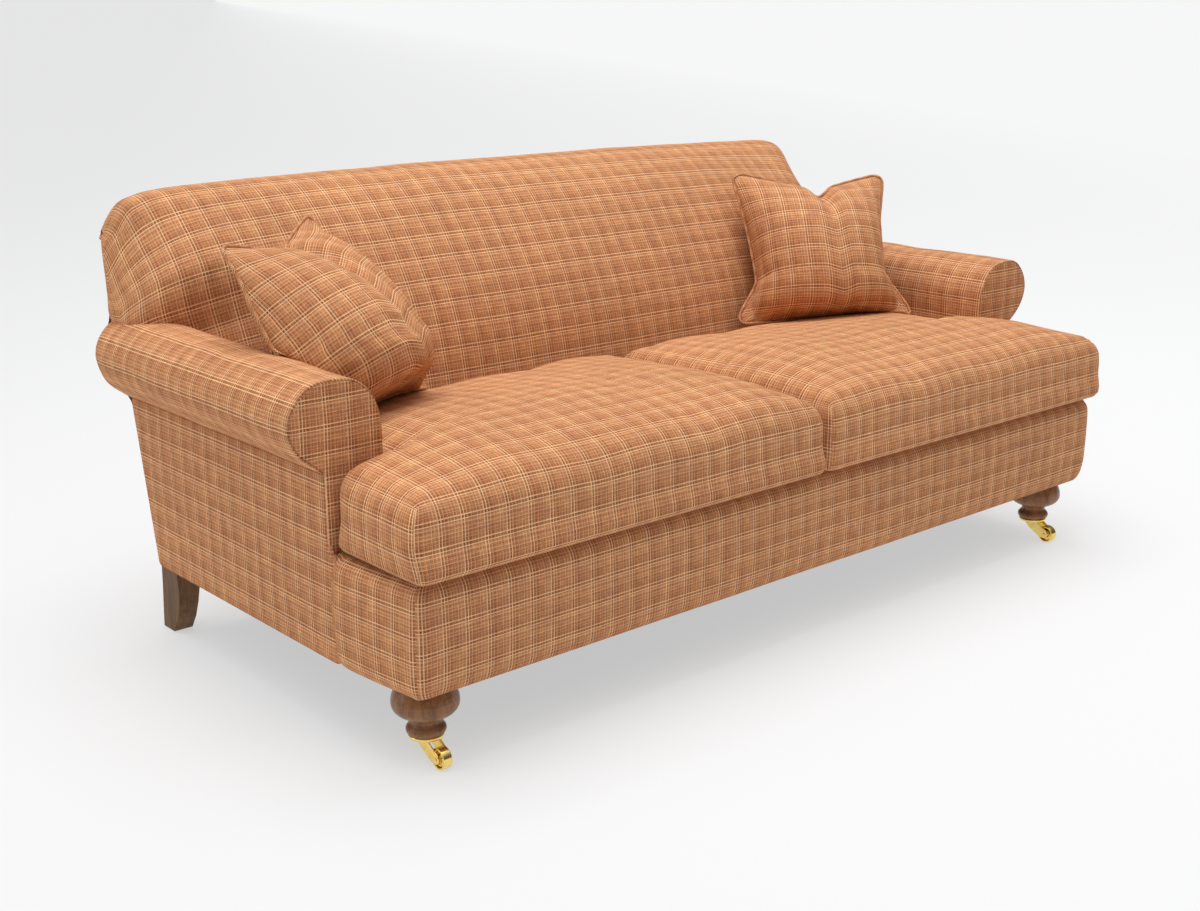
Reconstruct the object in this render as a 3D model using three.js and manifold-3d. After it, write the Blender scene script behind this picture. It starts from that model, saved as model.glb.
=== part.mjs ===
// English roll arm sofa, three-seat size, as an assembly of separate pieces.
// Millimetres. X runs along the sofa, -Y is the front, +Z is up.
// All lengths below are written from the axis of the front legs (y = 0) and the
// floor (z = 0); the whole group is then moved so that the origin is the middle
// of the footprint, on the floor.

import * as THREE from 'three';
import { mergeVertices } from 'three/addons/utils/BufferGeometryUtils.js';
import Module from 'manifold-3d';

const wasm = await Module();
wasm.setup();

// ---------------------------------------------------------------- dimensions
const Y_MIDDLE = 439.65;         // middle of the footprint behind the front leg axis
const GAP = 0.3;               // clearance between pieces that touch

// frame of planed hardwood
const RAIL_Z0 = 153;           // underside of the seat frame
const RAIL_Z1 = 338;           // top of the seat rails
const FRONT_RAIL_Y0 = -64, FRONT_RAIL_Y1 = -36;
const SIDE_RAIL_X0 = 938, SIDE_RAIL_X1 = 966;
const RAKE = 0.206;            // lean of the back, per unit of height
const REAR_FOOT_Y = 836;       // outside back at the underside of the frame
const POST_X0 = 896, POST_X1 = 937.7, POST_DEPTH = 34;
const POST_TOP = 845;
const OUTSIDE_BACK_THICK = 10, FRAME_SETBACK = 14;

// legs and castors
const LEG_X = 905;             // front leg and castor swivel axis, y = 0
const LEG_TOP = 152.7;
const REAR_LEG_X = 950, REAR_LEG_Y = 806;
const WHEEL_R = 20, WHEEL_HALF = 9, WHEEL_Y = -44, WHEEL_Z = 20;
const PLATE_Z0 = 50, PLATE_Z1 = 53.4, PLATE_R = 31;

// upholstery
const PANEL_X = 982;           // outside of the outside-arm panels
const FACING_Y = 165, FACING_THICK = 13.7;
const ARM_Y0 = 179;
const DECK_Z = 357;            // where the seat cushions rest
const CUSHION_Y0 = -97, CUSHION_Y1 = 556;
const CUSHION_X = 968, CUSHION_WAIST_X = 857, EAR_Y = 151;
const BACK_HALF = 1000;

// colours and finishes
const mat = (color, roughness, metalness = 0) =>
  new THREE.MeshStandardMaterial({ color, roughness, metalness });
const plaid = () => mat(0xc8875a, 0.92);
const darkWood = () => mat(0x5e4530, 0.5);
const beech = () => mat(0xc9a677, 0.7);
const brass = () => mat(0xd9ab3c, 0.22, 1);
const steel = () => mat(0x9a9c9e, 0.4, 1);
const jute = () => mat(0xa78a5c, 0.95);
const lining = () => mat(0x2b2b2d, 0.95);
const calico = () => mat(0xd8cdb8, 0.9);
const felt = () => mat(0x4b4640, 0.95);

// rear face of the outside back at height z
const yRear = (z) => REAR_FOOT_Y + RAKE * (z - RAIL_Z0);

// ------------------------------------------------------------ small geometry
const V2 = (p) => new THREE.Vector2(p[0], p[1]);

// outline extruded along a third axis: 'XZ' runs along y, 'YZ' along x, 'XY' along z
function prism(plane, pts, a, b) {
  const lo = Math.min(a, b), hi = Math.max(a, b);
  const g = new THREE.ExtrudeGeometry(new THREE.Shape(pts.map(V2)), {
    depth: hi - lo, bevelEnabled: false, steps: 1, curveSegments: 1,
  });
  const m = new THREE.Matrix4();
  const X = new THREE.Vector3(1, 0, 0), Y = new THREE.Vector3(0, 1, 0), Z = new THREE.Vector3(0, 0, 1);
  if (plane === 'XZ') { m.makeBasis(X, Z, Y.clone().negate()); m.setPosition(0, hi, 0); }
  if (plane === 'YZ') { m.makeBasis(Y, Z, X); m.setPosition(lo, 0, 0); }
  if (plane === 'XY') { m.makeBasis(X, Y, Z); m.setPosition(0, 0, lo); }
  return g.applyMatrix4(m);
}

function box(x0, x1, y0, y1, z0, z1) {
  const g = new THREE.BoxGeometry(Math.abs(x1 - x0), Math.abs(y1 - y0), Math.abs(z1 - z0));
  return g.translate((x0 + x1) / 2, (y0 + y1) / 2, (z0 + z1) / 2);
}

// turned piece about a vertical axis; the profile starts and ends on the axis or closes
function turned(profile, segments) {
  return new THREE.LatheGeometry(profile.map(V2), segments).rotateX(Math.PI / 2);
}

function rod(r, x, y, z0, z1, segments = 12) {
  const c = 0.8;
  return turned([[0, z0], [r - c, z0], [r, z0 + c], [r, z1 - c], [r - c, z1], [0, z1]], segments).translate(x, y, 0);
}

// the other side of the sofa
function mirrored(g) {
  const m = g.index ? g.toNonIndexed() : g.clone();
  m.applyMatrix4(new THREE.Matrix4().makeScale(-1, 1, 1));
  const p = m.attributes.position;
  for (let i = 0; i < p.count; i += 3) {
    const x = p.getX(i + 1), y = p.getY(i + 1), z = p.getZ(i + 1);
    p.setXYZ(i + 1, p.getX(i + 2), p.getY(i + 2), p.getZ(i + 2));
    p.setXYZ(i + 2, x, y, z);
  }
  m.deleteAttribute('normal');
  m.computeVertexNormals();
  return m;
}

// closed solids for cuts and joins
function solid(g) {
  const c = g.clone();
  c.deleteAttribute('normal');
  c.deleteAttribute('uv');
  const w = mergeVertices(c, 1e-4);
  return new wasm.Manifold(new wasm.Mesh({
    numProp: 3,
    vertProperties: new Float32Array(w.attributes.position.array),
    triVerts: new Uint32Array(w.index.array),
  }));
}

function shape(m) {
  const mesh = m.getMesh();
  const n = mesh.numProp, vp = mesh.vertProperties;
  const pos = new Float32Array((vp.length / n) * 3);
  for (let i = 0; i < vp.length / n; i++) {
    pos[3 * i] = vp[n * i]; pos[3 * i + 1] = vp[n * i + 1]; pos[3 * i + 2] = vp[n * i + 2];
  }
  const g = new THREE.BufferGeometry();
  g.setAttribute('position', new THREE.BufferAttribute(pos, 3));
  g.setIndex(new THREE.BufferAttribute(new Uint32Array(mesh.triVerts), 1));
  const out = g.toNonIndexed();
  out.computeVertexNormals();
  return out;
}

const cut = (a, ...b) => shape(b.reduce((s, g) => s.subtract(solid(g)), solid(a)));
const join = (...g) => shape(g.slice(1).reduce((s, q) => s.add(solid(q)), solid(g[0])));
const common = (...g) => shape(g.slice(1).reduce((s, q) => s.intersect(solid(q)), solid(g[0])));

// lean a piece back with the rake of the outside back
const lean = (g) => g.applyMatrix4(new THREE.Matrix4().set(
  1, 0, 0, 0,
  0, 1, RAKE, REAR_FOOT_Y - RAKE * RAIL_Z0,
  0, 0, 1, 0,
  0, 0, 0, 1));

// volume enclosed by a triangle soup, negative when its faces point inwards
function signedVolume(pos) {
  let v = 0;
  for (let i = 0; i < pos.length; i += 9) {
    const [ax, ay, az, bx, by, bz, cx, cy, cz] = pos.slice(i, i + 9);
    v += ax * (by * cz - bz * cy) + ay * (bz * cx - bx * cz) + az * (bx * cy - by * cx);
  }
  return v / 6;
}

// geometry from loose triangles, with its faces turned outwards
function soup(pos) {
  if (signedVolume(pos) < 0) {
    for (let i = 0; i < pos.length; i += 9) {
      const b = pos.slice(i + 3, i + 6), c = pos.slice(i + 6, i + 9);
      pos.splice(i + 3, 6, ...c, ...b);
    }
  }
  const g = new THREE.BufferGeometry();
  g.setAttribute('position', new THREE.BufferAttribute(new Float32Array(pos), 3));
  g.computeVertexNormals();
  return g;
}

// closed surface through rings of equal point count, capped at both ends by a fan
function loft(rings, capA, capB) {
  const n = rings[0].length, pos = [];
  const push = (...p) => p.forEach((q) => pos.push(...q));
  for (let r = 0; r < rings.length - 1; r++) {
    for (let i = 0; i < n; i++) {
      const j = (i + 1) % n;
      const a = rings[r][i], b = rings[r][j], c = rings[r + 1][j], d = rings[r + 1][i];
      push(a, b, c, a, c, d);
    }
  }
  for (let i = 0; i < n; i++) {
    const j = (i + 1) % n;
    push(capA, rings[0][j], rings[0][i]);
    push(capB, rings[rings.length - 1][i], rings[rings.length - 1][j]);
  }
  return soup(pos);
}

// ------------------------------------------------------------------ assembly
const root = new THREE.Group();
root.name = 'sofa';
root.position.y = -Y_MIDDLE;

function add(name, geometry, material, parent = root) {
  const m = new THREE.Mesh(geometry, material);
  m.name = name;
  parent.add(m);
  return m;
}
// left is -X: the left piece is the mirror of the right one
function pair(name, geometry, material) {
  add(`${name}_right`, geometry, material());
  add(`${name}_left`, mirrored(geometry), material());
}

// --- seat frame ------------------------------------------------------------
add('front_rail', box(-SIDE_RAIL_X0 + GAP, SIDE_RAIL_X0 - GAP, FRONT_RAIL_Y0, FRONT_RAIL_Y1, RAIL_Z0, RAIL_Z1), beech());

const sideRail = prism('YZ', [
  [FRONT_RAIL_Y0, RAIL_Z0], [yRear(RAIL_Z0) - FRAME_SETBACK, RAIL_Z0],
  [yRear(RAIL_Z1) - FRAME_SETBACK, RAIL_Z1], [FRONT_RAIL_Y0, RAIL_Z1]], SIDE_RAIL_X0, SIDE_RAIL_X1);
const rearBore = rod(4.3, REAR_LEG_X, REAR_LEG_Y, RAIL_Z0 - 20, 216);
pair('side_rail', cut(sideRail, rearBore), beech);

add('back_rail', lean(box(-POST_X0 + GAP, POST_X0 - GAP, -FRAME_SETBACK - 28, -FRAME_SETBACK, RAIL_Z0, RAIL_Z1)), beech());

add('centre_rail', prism('YZ', [
  [FRONT_RAIL_Y1 + GAP, 210], [yRear(210) - FRAME_SETBACK - 28 - GAP, 210],
  [yRear(RAIL_Z1) - FRAME_SETBACK - 28 - GAP, RAIL_Z1], [FRONT_RAIL_Y1 + GAP, RAIL_Z1]], -14, 14), beech());

const frontBlock = box(872, SIDE_RAIL_X0 - GAP, FRONT_RAIL_Y1 + GAP, 38, RAIL_Z0, RAIL_Z1);
pair('front_corner_block', cut(frontBlock, rod(4.3, LEG_X, 0, RAIL_Z0 - 20, 232)), beech);

pair('rear_corner_block', prism('YZ', [
  [720, RAIL_Z0], [yRear(RAIL_Z0) - FRAME_SETBACK - POST_DEPTH - GAP, RAIL_Z0],
  [yRear(RAIL_Z1) - FRAME_SETBACK - POST_DEPTH - GAP, RAIL_Z1], [720, RAIL_Z1]], 880, SIDE_RAIL_X0 - GAP), beech);

// --- back frame ------------------------------------------------------------
const post = () => lean(box(POST_X0, POST_X1, -FRAME_SETBACK - POST_DEPTH, -FRAME_SETBACK, RAIL_Z0, POST_TOP));
pair('back_post', post(), beech);
add('back_top_rail', lean(box(-POST_X0 + GAP, POST_X0 - GAP, -FRAME_SETBACK - POST_DEPTH, -FRAME_SETBACK, 800, POST_TOP)), beech());
add('back_tuck_rail', lean(box(-POST_X0 + GAP, POST_X0 - GAP, -FRAME_SETBACK - POST_DEPTH, -FRAME_SETBACK - 6, 395, 440)), beech());

// --- arm frame -------------------------------------------------------------
// cavity of the arm, x from the middle and z from the floor
const ARM_CAVITY = [[874, 341.3], [874, 566], [883, 600], [893, 618], [1016, 618], [1023, 600], [1016, 583], [966.3, 540], [966.3, 494.3]];
const ARM_BOARD = [[874.6, 341.6], [874.6, 565.9], [883.6, 599.8], [893.4, 617.4], [1015.6, 617.4], [1022.3, 600], [1015.6, 583.5], [965.7, 540.4], [965.7, 341.6]];
pair('arm_front_board', prism('XZ', ARM_BOARD, ARM_Y0, ARM_Y0 + 22), beech);
pair('arm_top_rail', box(897, 1012, ARM_Y0 + 22 + GAP, 877.5, 592, 616), beech);
pair('arm_tuck_rail', box(880, 905, ARM_Y0 + 22 + GAP, 838, 400, 430), beech);

// --- suspension ------------------------------------------------------------
// strips joined where they cross, with loose ends, as one flat sheet of cells
function lattice(xs, ys, half, xEnd, y0, y1, thick) {
  const breaks = (c, lo, hi) => [lo, ...c.flatMap((v) => [v - half, v + half]), hi];
  const xb = breaks(xs, -xEnd, xEnd), yb = breaks(ys, y0, y1);
  // odd cells lie on a strip; the first and last row or column hold only the loose ends
  const on = (i, j) => {
    if (i < 0 || j < 0 || i >= xb.length - 1 || j >= yb.length - 1) return false;
    return i % 2 === 1 || j % 2 === 1;
  };
  const pos = [];
  const quad = (p, q, r, t) => pos.push(...p, ...q, ...r, ...p, ...r, ...t);
  for (let i = 0; i < xb.length - 1; i++) for (let j = 0; j < yb.length - 1; j++) {
    if (!on(i, j)) continue;
    const [xa, xc, ya, yc] = [xb[i], xb[i + 1], yb[j], yb[j + 1]];
    quad([xa, ya, thick], [xc, ya, thick], [xc, yc, thick], [xa, yc, thick]);
    quad([xa, ya, 0], [xa, yc, 0], [xc, yc, 0], [xc, ya, 0]);
    if (!on(i - 1, j)) quad([xa, yc, 0], [xa, ya, 0], [xa, ya, thick], [xa, yc, thick]);
    if (!on(i + 1, j)) quad([xc, ya, 0], [xc, yc, 0], [xc, yc, thick], [xc, ya, thick]);
    if (!on(i, j - 1)) quad([xa, ya, 0], [xc, ya, 0], [xc, ya, thick], [xa, ya, thick]);
    if (!on(i, j + 1)) quad([xc, yc, 0], [xa, yc, 0], [xa, yc, thick], [xc, yc, thick]);
  }
  return soup(pos);
}
const spread = (a, b, n) => Array.from({ length: n }, (_, i) => a + ((b - a) * i) / (n - 1));
add('seat_webbing', lattice(spread(-840, 840, 8), spread(30, 770, 5), 35, 952, -18, 850, 2.4).translate(0, 0, RAIL_Z1 + GAP), jute());
{
  const y0 = -FRAME_SETBACK - POST_DEPTH - GAP;
  const flat = lattice(spread(-780, 780, 7), [540, 700], 30, 860, 400, 840, 2.4);
  // stand the flat lattice up, then lean it
  add('back_webbing', lean(flat.rotateX(Math.PI / 2).translate(0, y0, 0)), jute());
}

// --- seat platform and front border ------------------------------------------
add('seat_platform', prism('XY', [
  [-958, -19.7], [958, -19.7], [958, 164.4], [861.4, 164.4], [861.4, 560], [-861.4, 560], [-861.4, 164.4], [-958, 164.4]],
  RAIL_Z1 + GAP + 2.4 + GAP, DECK_Z - GAP), calico());

{
  // outside form: where the plan, side and front outlines meet
  const plan = [[992, 110], [990, 138], [986, 150]];
  const planFront = [[940, -78], [966, -72], [982, -57], [989, -34], [992, 0]];
  const planAll = [...planFront, ...plan];
  const planFull = [...planAll, ...planAll.slice().reverse().map(([x, y]) => [-x, y])];
  const side = [[160, 145], [-48, 145], [-64, 149], [-74, 158], [-78, 174], [-78, 322], [-74, 336], [-64, 347], [-48, 353], [160, 353]];
  const front = [[966, 145], [980, 150], [988, 160], [992, 176], [992, 316], [989, 332], [980, 345], [966, 353], [0, 353]];
  const frontFull = [...front, ...front.slice(0, -1).reverse().map(([x, z]) => [-x, z])];
  const body = common(prism('XY', planFull, 100, 400), prism('YZ', side, -1020, 1020), prism('XZ', frontFull, -100, 200));
  const hollow = box(-966.3, 966.3, FRONT_RAIL_Y0 - GAP, 400, 100, 400);
  const flapTop = box(-966.5, 966.5, FRONT_RAIL_Y0 - GAP - 6, -20.3, RAIL_Z1 + GAP, 352.6);
  const flapBottom = box(-846, 846, FRONT_RAIL_Y0 - GAP - 6, -24, 145.4, RAIL_Z0 - GAP);
  add('front_border', join(cut(body, hollow), common(flapTop, body), flapBottom), plaid());
}

// --- arms --------------------------------------------------------------------
const ARM_OUTER = [[862, 341.3], [862, 560], [863.5, 575], [868, 592], [875, 611], [885, 628], [901, 643], [916, 651.5],
  [937, 656], [960, 657.5], [985, 657], [1006, 650], [1022, 638], [1037, 621], [1046, 602], [1050, 583],
  [1047.5, 566], [1041, 550], [1029, 533], [1013, 518], [997, 506], [982.3, 494.3]];
{
  const section = [...ARM_OUTER, ...ARM_CAVITY.slice().reverse()];
  const raw = prism('XZ', section, ARM_Y0, 1100);
  const behind = lean(box(800, 1100, -OUTSIDE_BACK_THICK - GAP, 400, 0, 1000));
  const postRoom = lean(box(POST_X0 - 0.4, POST_X1 + 0.4, -FRAME_SETBACK - POST_DEPTH - 0.4, 60, 300, 700));
  const tuckRoom = lean(box(800, POST_X0, -FRAME_SETBACK - POST_DEPTH - 0.4, -FRAME_SETBACK - 5.6, 394.6, 440.4));
  pair('arm_pad', cut(raw, behind, postRoom, tuckRoom), plaid);
}
{
  const f = [[863, 353.6], [863, 560], [864.5, 574], [869, 591], [876, 608], [886, 624], [902, 638], [917, 646],
    [937, 650.5], [960, 652], [983, 651.5], [1001, 645.5], [1014, 635], [1024, 620], [1030, 602], [1032, 584],
    [1030, 568], [1025, 553], [1016, 538], [1004, 525], [991, 513], [981, 502], [981, 353.6]];
  pair('arm_facing', prism('XZ', f, FACING_Y, FACING_Y + FACING_THICK), plaid);
}
pair('outside_arm', prism('YZ', [
  [150.3, RAIL_Z0], [yRear(RAIL_Z0) - OUTSIDE_BACK_THICK - GAP, RAIL_Z0],
  [yRear(494) - OUTSIDE_BACK_THICK - GAP, 494], [ARM_Y0, 494], [ARM_Y0, 353.3], [150.3, 353.3]],
  SIDE_RAIL_X1 + GAP, PANEL_X), plaid);

// --- back ----------------------------------------------------------------------
// front and top outline of the back (y, z), from the seat up and over to the rear
const BACK = [[562, 357], [580, 480], [603, 581], [621, 631], [643, 680], [671, 728], [703, 776], [740, 824],
  [788, 871], [822, 894], [855, 909], [885, 916.5], [915, 917.5], [945, 911], [966, 898], [971.5, 880], [970, 862]];
// rounding of the upper corners seen from the front, and of the ends seen from above
const BACK_CORNER = [[1000, 640], [1000, 767], [993, 797], [982, 822], [962, 849], [932, 873], [900, 887], [850, 899], [760, 908], [600, 914], [400, 917.8]];
const BACK_END = [[0, 0], [400, 1], [600, 7], [700, 16], [800, 36], [850, 58], [890, 84], [925, 112], [960, 146], [985, 182], [1000, 225]];
{
  const profile = [...BACK, [960, 357]];
  const both = (o) => [...o, ...o.slice().reverse().map(([x, z]) => [-x, z])];
  const corners = prism('XZ', both([[1000, 300], ...BACK_CORNER]), 0, 1300);
  // the plan outline leans with the inside face
  const slope = (740 - 603) / (824 - 581);
  const ends = prism('XY', [[-1000, 1500], ...BACK_END.slice().reverse().map(([x, d]) => [-x, d]), ...BACK_END.slice(1).map(([x, d]) => [x, d]), [1000, 1500]], 200, 1000)
    .applyMatrix4(new THREE.Matrix4().set(1, 0, 0, 0, 0, 1, slope, 600 - slope * 581, 0, 0, 1, 0, 0, 0, 0, 1));
  const body = common(prism('YZ', profile, -1010, 1010), corners, ends);
  const armRoom = (s) => {
    const top = ARM_OUTER.slice(1, 16).map(([x, z]) => [x < 956 ? x - 0.4 : x + 0.4, z + 0.4]);
    return prism('XZ', [[861.6, 200], ...top, [1050.4, 200]].map(([x, z]) => [s * x, z]), 0, 1300);
  };
  const frameRoom = lean(box(-938.2, 938.2, -FRAME_SETBACK - POST_DEPTH - 3.2, 400, 0, POST_TOP + GAP));
  const panelRoom = lean(box(-1200, 1200, -OUTSIDE_BACK_THICK - GAP, 400, 0, 863.4));
  const below = box(-1200, 1200, 0, 1300, 0, 357.2);
  add('back_pad', cut(body, armRoom(1), armRoom(-1), frameRoom, panelRoom, below), plaid());
}
{
  const o = [[982, 153], [982, 490], [1003, 505], [1022, 523], [1031, 545], [1033, 569], [1028, 588], [1017, 603], [1005, 622],
    [998, 645], [993, 700], [988, 760], [982, 790], [972, 812], [955, 833], [930, 848], [890, 857], [800, 861], [0, 863]];
  const all = [...o, ...o.slice(0, -1).reverse().map(([x, z]) => [-x, z])];
  add('outside_back', lean(prism('XZ', all, -OUTSIDE_BACK_THICK, 0)), plaid());
}
add('dust_cover', prism('XY', [
  [-846, -23.6], [846, -23.6], [846, 60], [960, 60], [960, 762], [912, 762], [912, 812], [-912, 812], [-912, 762],
  [-960, 762], [-960, 60], [-846, 60]], 150.6, RAIL_Z0 - GAP), lining());

// --- loose seat cushions ---------------------------------------------------------
// T-shaped outline with rounded corners; positive inset shrinks it
function cushionOutline(inset) {
  const x0 = 1.5 + inset, x1 = CUSHION_X - inset, xw = CUSHION_WAIST_X - inset;
  const y0 = CUSHION_Y0 + inset, ye = EAR_Y - inset, y1 = CUSHION_Y1 - inset;
  const r = Math.max(6, 26 - inset * 0.3), pts = [];
  const corner = (x, y, sx, sy, turn) => {
    // three points round the corner, in order along the outline
    const a = [x - sx * r, y], b = [x - sx * r * 0.29, y - sy * r * 0.29], c = [x, y - sy * r];
    pts.push(...(turn ? [a, b, c] : [c, b, a]));
  };
  corner(x0, y0, -1, -1, false);
  corner(x1, y0, 1, -1, true);
  corner(x1, ye, 1, 1, false);
  pts.push([xw + 8, ye], [xw, ye + 8]);
  corner(xw, y1, 1, 1, false);
  corner(x0, y1, -1, 1, true);
  return pts;
}
{
  const levels = [[357, 22], [366, 6], [388, -3], [424, -6], [460, -3], [480, 3], [494, 16], [510, 38], [524, 62], [536, 88], [546, 112]];
  const rings = levels.map(([z, inset]) => cushionOutline(Math.max(inset, 0)).map(([x, y]) => {
    // the sides swell a little, but not where the two cushions meet or at the arms
    const swell = inset < 0 ? -inset : 0;
    let px = x, py = y;
    if (y < EAR_Y - 40 && x > 400) px += swell;
    if (y < -60) py -= swell;
    // the crown falls away towards the back
    const fall = Math.min(1, Math.max(0, (y - 150) / 300)) * 0.5;
    return [px, py, z > 470 ? z - (z - 470) * fall : z];
  }));
  pair('seat_cushion', loft(rings, [450, 200, 357], [450, 180, 552]), plaid);
}

// --- scatter cushions --------------------------------------------------------------
// square feather cushion: pinched sides, pointed corners, full middle
function scatter(width, height, front, rear) {
  const n = 8, pos = [];
  const at = (u, v, s) => {
    const px = (width / 2) * u * (1 - 0.13 * (1 - v * v));
    const pz = (height / 2) * v * (1 - 0.05 * (1 - u * u));
    const f = Math.sqrt(Math.max(0, (1 - u * u) * (1 - v * v)));
    return [px, s * (3 + ((s < 0 ? front : rear) - 3) * f), pz];
  };
  const quad = (p, q, r, t) => pos.push(...p, ...q, ...r, ...p, ...r, ...t);
  const k = (i) => Math.sin((Math.PI / 2) * (-1 + (2 * i) / n));
  for (let i = 0; i < n; i++) for (let j = 0; j < n; j++) {
    const u0 = k(i), u1 = k(i + 1), v0 = k(j), v1 = k(j + 1);
    quad(at(u0, v0, -1), at(u1, v0, -1), at(u1, v1, -1), at(u0, v1, -1));
    quad(at(u0, v0, 1), at(u0, v1, 1), at(u1, v1, 1), at(u1, v0, 1));
  }
  for (let i = 0; i < n; i++) {
    const a = k(i), b = k(i + 1);
    quad(at(a, -1, 1), at(b, -1, 1), at(b, -1, -1), at(a, -1, -1));
    quad(at(a, 1, -1), at(b, 1, -1), at(b, 1, 1), at(a, 1, 1));
    quad(at(-1, a, -1), at(-1, b, -1), at(-1, b, 1), at(-1, a, 1));
    quad(at(1, a, 1), at(1, b, 1), at(1, b, -1), at(1, a, -1));
  }
  return soup(pos);
}
// stood on its lower left corner, its lower edge turned in plan, then leant back
function stood(g, height, corner, width, plan, back) {
  return g.applyMatrix4(new THREE.Matrix4()
    .makeTranslation(...corner)
    .multiply(new THREE.Matrix4().makeRotationZ(THREE.MathUtils.degToRad(plan)))
    .multiply(new THREE.Matrix4().makeRotationX(THREE.MathUtils.degToRad(-back)))
    .multiply(new THREE.Matrix4().makeTranslation(width / 2, 0, height / 2)));
}
const SCATTER_H = 385;
add('scatter_cushion_right', stood(scatter(440, SCATTER_H, 130, 80), SCATTER_H, [437, 545, 533], 440, -30, 27), plaid());
add('scatter_cushion_left', stood(scatter(410, SCATTER_H, 130, 75), SCATTER_H, [-838, 292, 537], 410, 40, 25), plaid());

// --- front legs ----------------------------------------------------------------------
const FRONT_LEG = [[0, 86], [4.3, 84], [4.3, 53.7], [30, 53.7], [33.5, 56], [35.6, 59.5], [36, 62.5], [34.8, 67],
  [31, 71.5], [27.6, 75.5], [27, 79], [29, 83], [36, 87.5], [46, 92.5], [54, 98.5], [59, 106], [60, 114], [59, 124],
  [55.5, 135], [50, 145], [46, LEG_TOP], [4.3, LEG_TOP], [4.3, 110], [0, 108]];
pair('front_leg', turned(FRONT_LEG, 16).translate(LEG_X, 0, 0), darkWood);
pair('front_leg_bolt', rod(4, LEG_X, 0, 112, 228), steel);

// --- rear legs -------------------------------------------------------------------------
{
  // outline at each height: inner x, outer x, front y, rear y
  const rows = [[2.3, 925, 966, 823, 869], [34, 925, 967, 802, 865], [67, 925, 968, 788, 860], [100, 924, 970, 780, 853], [LEG_TOP, 922, 976, 773, 838]];
  const rings = rows.map(([z, xi, xo, yf, yr]) => [[xi, yf, z], [xo, yf, z], [xo, yr, z], [xi, yr, z]]);
  const mid = (r) => [(r[0][0] + r[1][0]) / 2, (r[0][1] + r[3][1]) / 2, r[0][2]];
  const g = loft(rings, mid(rings[0]), mid(rings[rings.length - 1]));
  pair('rear_leg', cut(g, rod(4.3, REAR_LEG_X, REAR_LEG_Y, 96, 200), rod(1.7, 945.5, 846, -5, 13, 8)), darkWood);
  pair('rear_leg_bolt', rod(4, REAR_LEG_X, REAR_LEG_Y, 98, 213), steel);
  pair('rear_glide', turned([[0, 0], [11, 0], [12, 0.8], [12, 2], [1.4, 2], [1.4, 11], [0, 12]], 16).translate(945.5, 846, 0), felt);
}

// --- castors ------------------------------------------------------------------------------
{
  const at = (g) => g.translate(LEG_X, 0, 0);
  pair('castor_plate', at(turned([[4.6, PLATE_Z0], [28.5, PLATE_Z0], [30.4, 50.6], [PLATE_R, 51.8], [30.4, 52.9], [29, PLATE_Z1], [4.6, PLATE_Z1], [4.6, PLATE_Z0]], 24)), brass);
  pair('castor_pintle', at(turned([[0, 39.6], [4.6, 39.6], [6, 40.8], [6, 43.1], [3, 43.1], [3, 49], [4, 50.2], [4, 80], [0, 83.5]], 14)), steel);

  const arm = [[8, 44], [6.5, 34], [-8, 26.5], [-22, 19.5], [-34, 14.2], [-42, 13.2], [-47.5, 15], [-50.5, 20], [-48.5, 25.5], [-40, 31], [-30, 37.5], [-23, 43.8], [-19, 49.2], [8, 49.2]];
  const axleHole = new THREE.CylinderGeometry(3.1, 3.1, 60, 12).rotateZ(Math.PI / 2).translate(0, WHEEL_Y, WHEEL_Z);
  const pinHole = new THREE.CylinderGeometry(3.5, 3.5, 40, 12).rotateX(Math.PI / 2).translate(0, 0, 45);
  const bridge = prism('YZ', [[12, 43.7], [14, 46.5], [12, 49.4], [-17, 49.4], [-20, 46], [-17, 43.7]], -13.4, 13.4);
  const fork = cut(join(bridge, prism('YZ', arm, -13.4, -10.2), prism('YZ', arm, 10.2, 13.4)), axleHole, pinHole);
  pair('castor_fork', at(fork), brass);

  const onAxle = (g) => g.rotateZ(Math.PI / 2).translate(LEG_X, WHEEL_Y, WHEEL_Z);
  const wheel = new THREE.LatheGeometry([[3.2, -7.4], [7, -7.4], [7, -3], [15.6, -3], [16, -WHEEL_HALF], [19.2, -WHEEL_HALF], [WHEEL_R, -8.2],
    [WHEEL_R, 8.2], [19.2, WHEEL_HALF], [16, WHEEL_HALF], [15.6, 3], [7, 3], [7, 7.4], [3.2, 7.4], [3.2, -7.4]].map(V2), 24);
  pair('castor_wheel', onAxle(wheel), brass);
  const axle = new THREE.LatheGeometry([[0, -15.4], [3, -15.4], [4, -14.6], [4, -13.8], [2.8, -13.8], [2.8, 13.8], [4, 13.8], [4, 14.6], [3, 15.4], [0, 15.4]].map(V2), 14);
  pair('castor_axle', onAxle(axle), brass);
}

const object = new THREE.Group();
object.name = 'roll_arm_sofa';
object.add(root);
export default object;
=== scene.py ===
import bpy, bmesh, math
import numpy as np
from mathutils import Vector, Matrix


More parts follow.
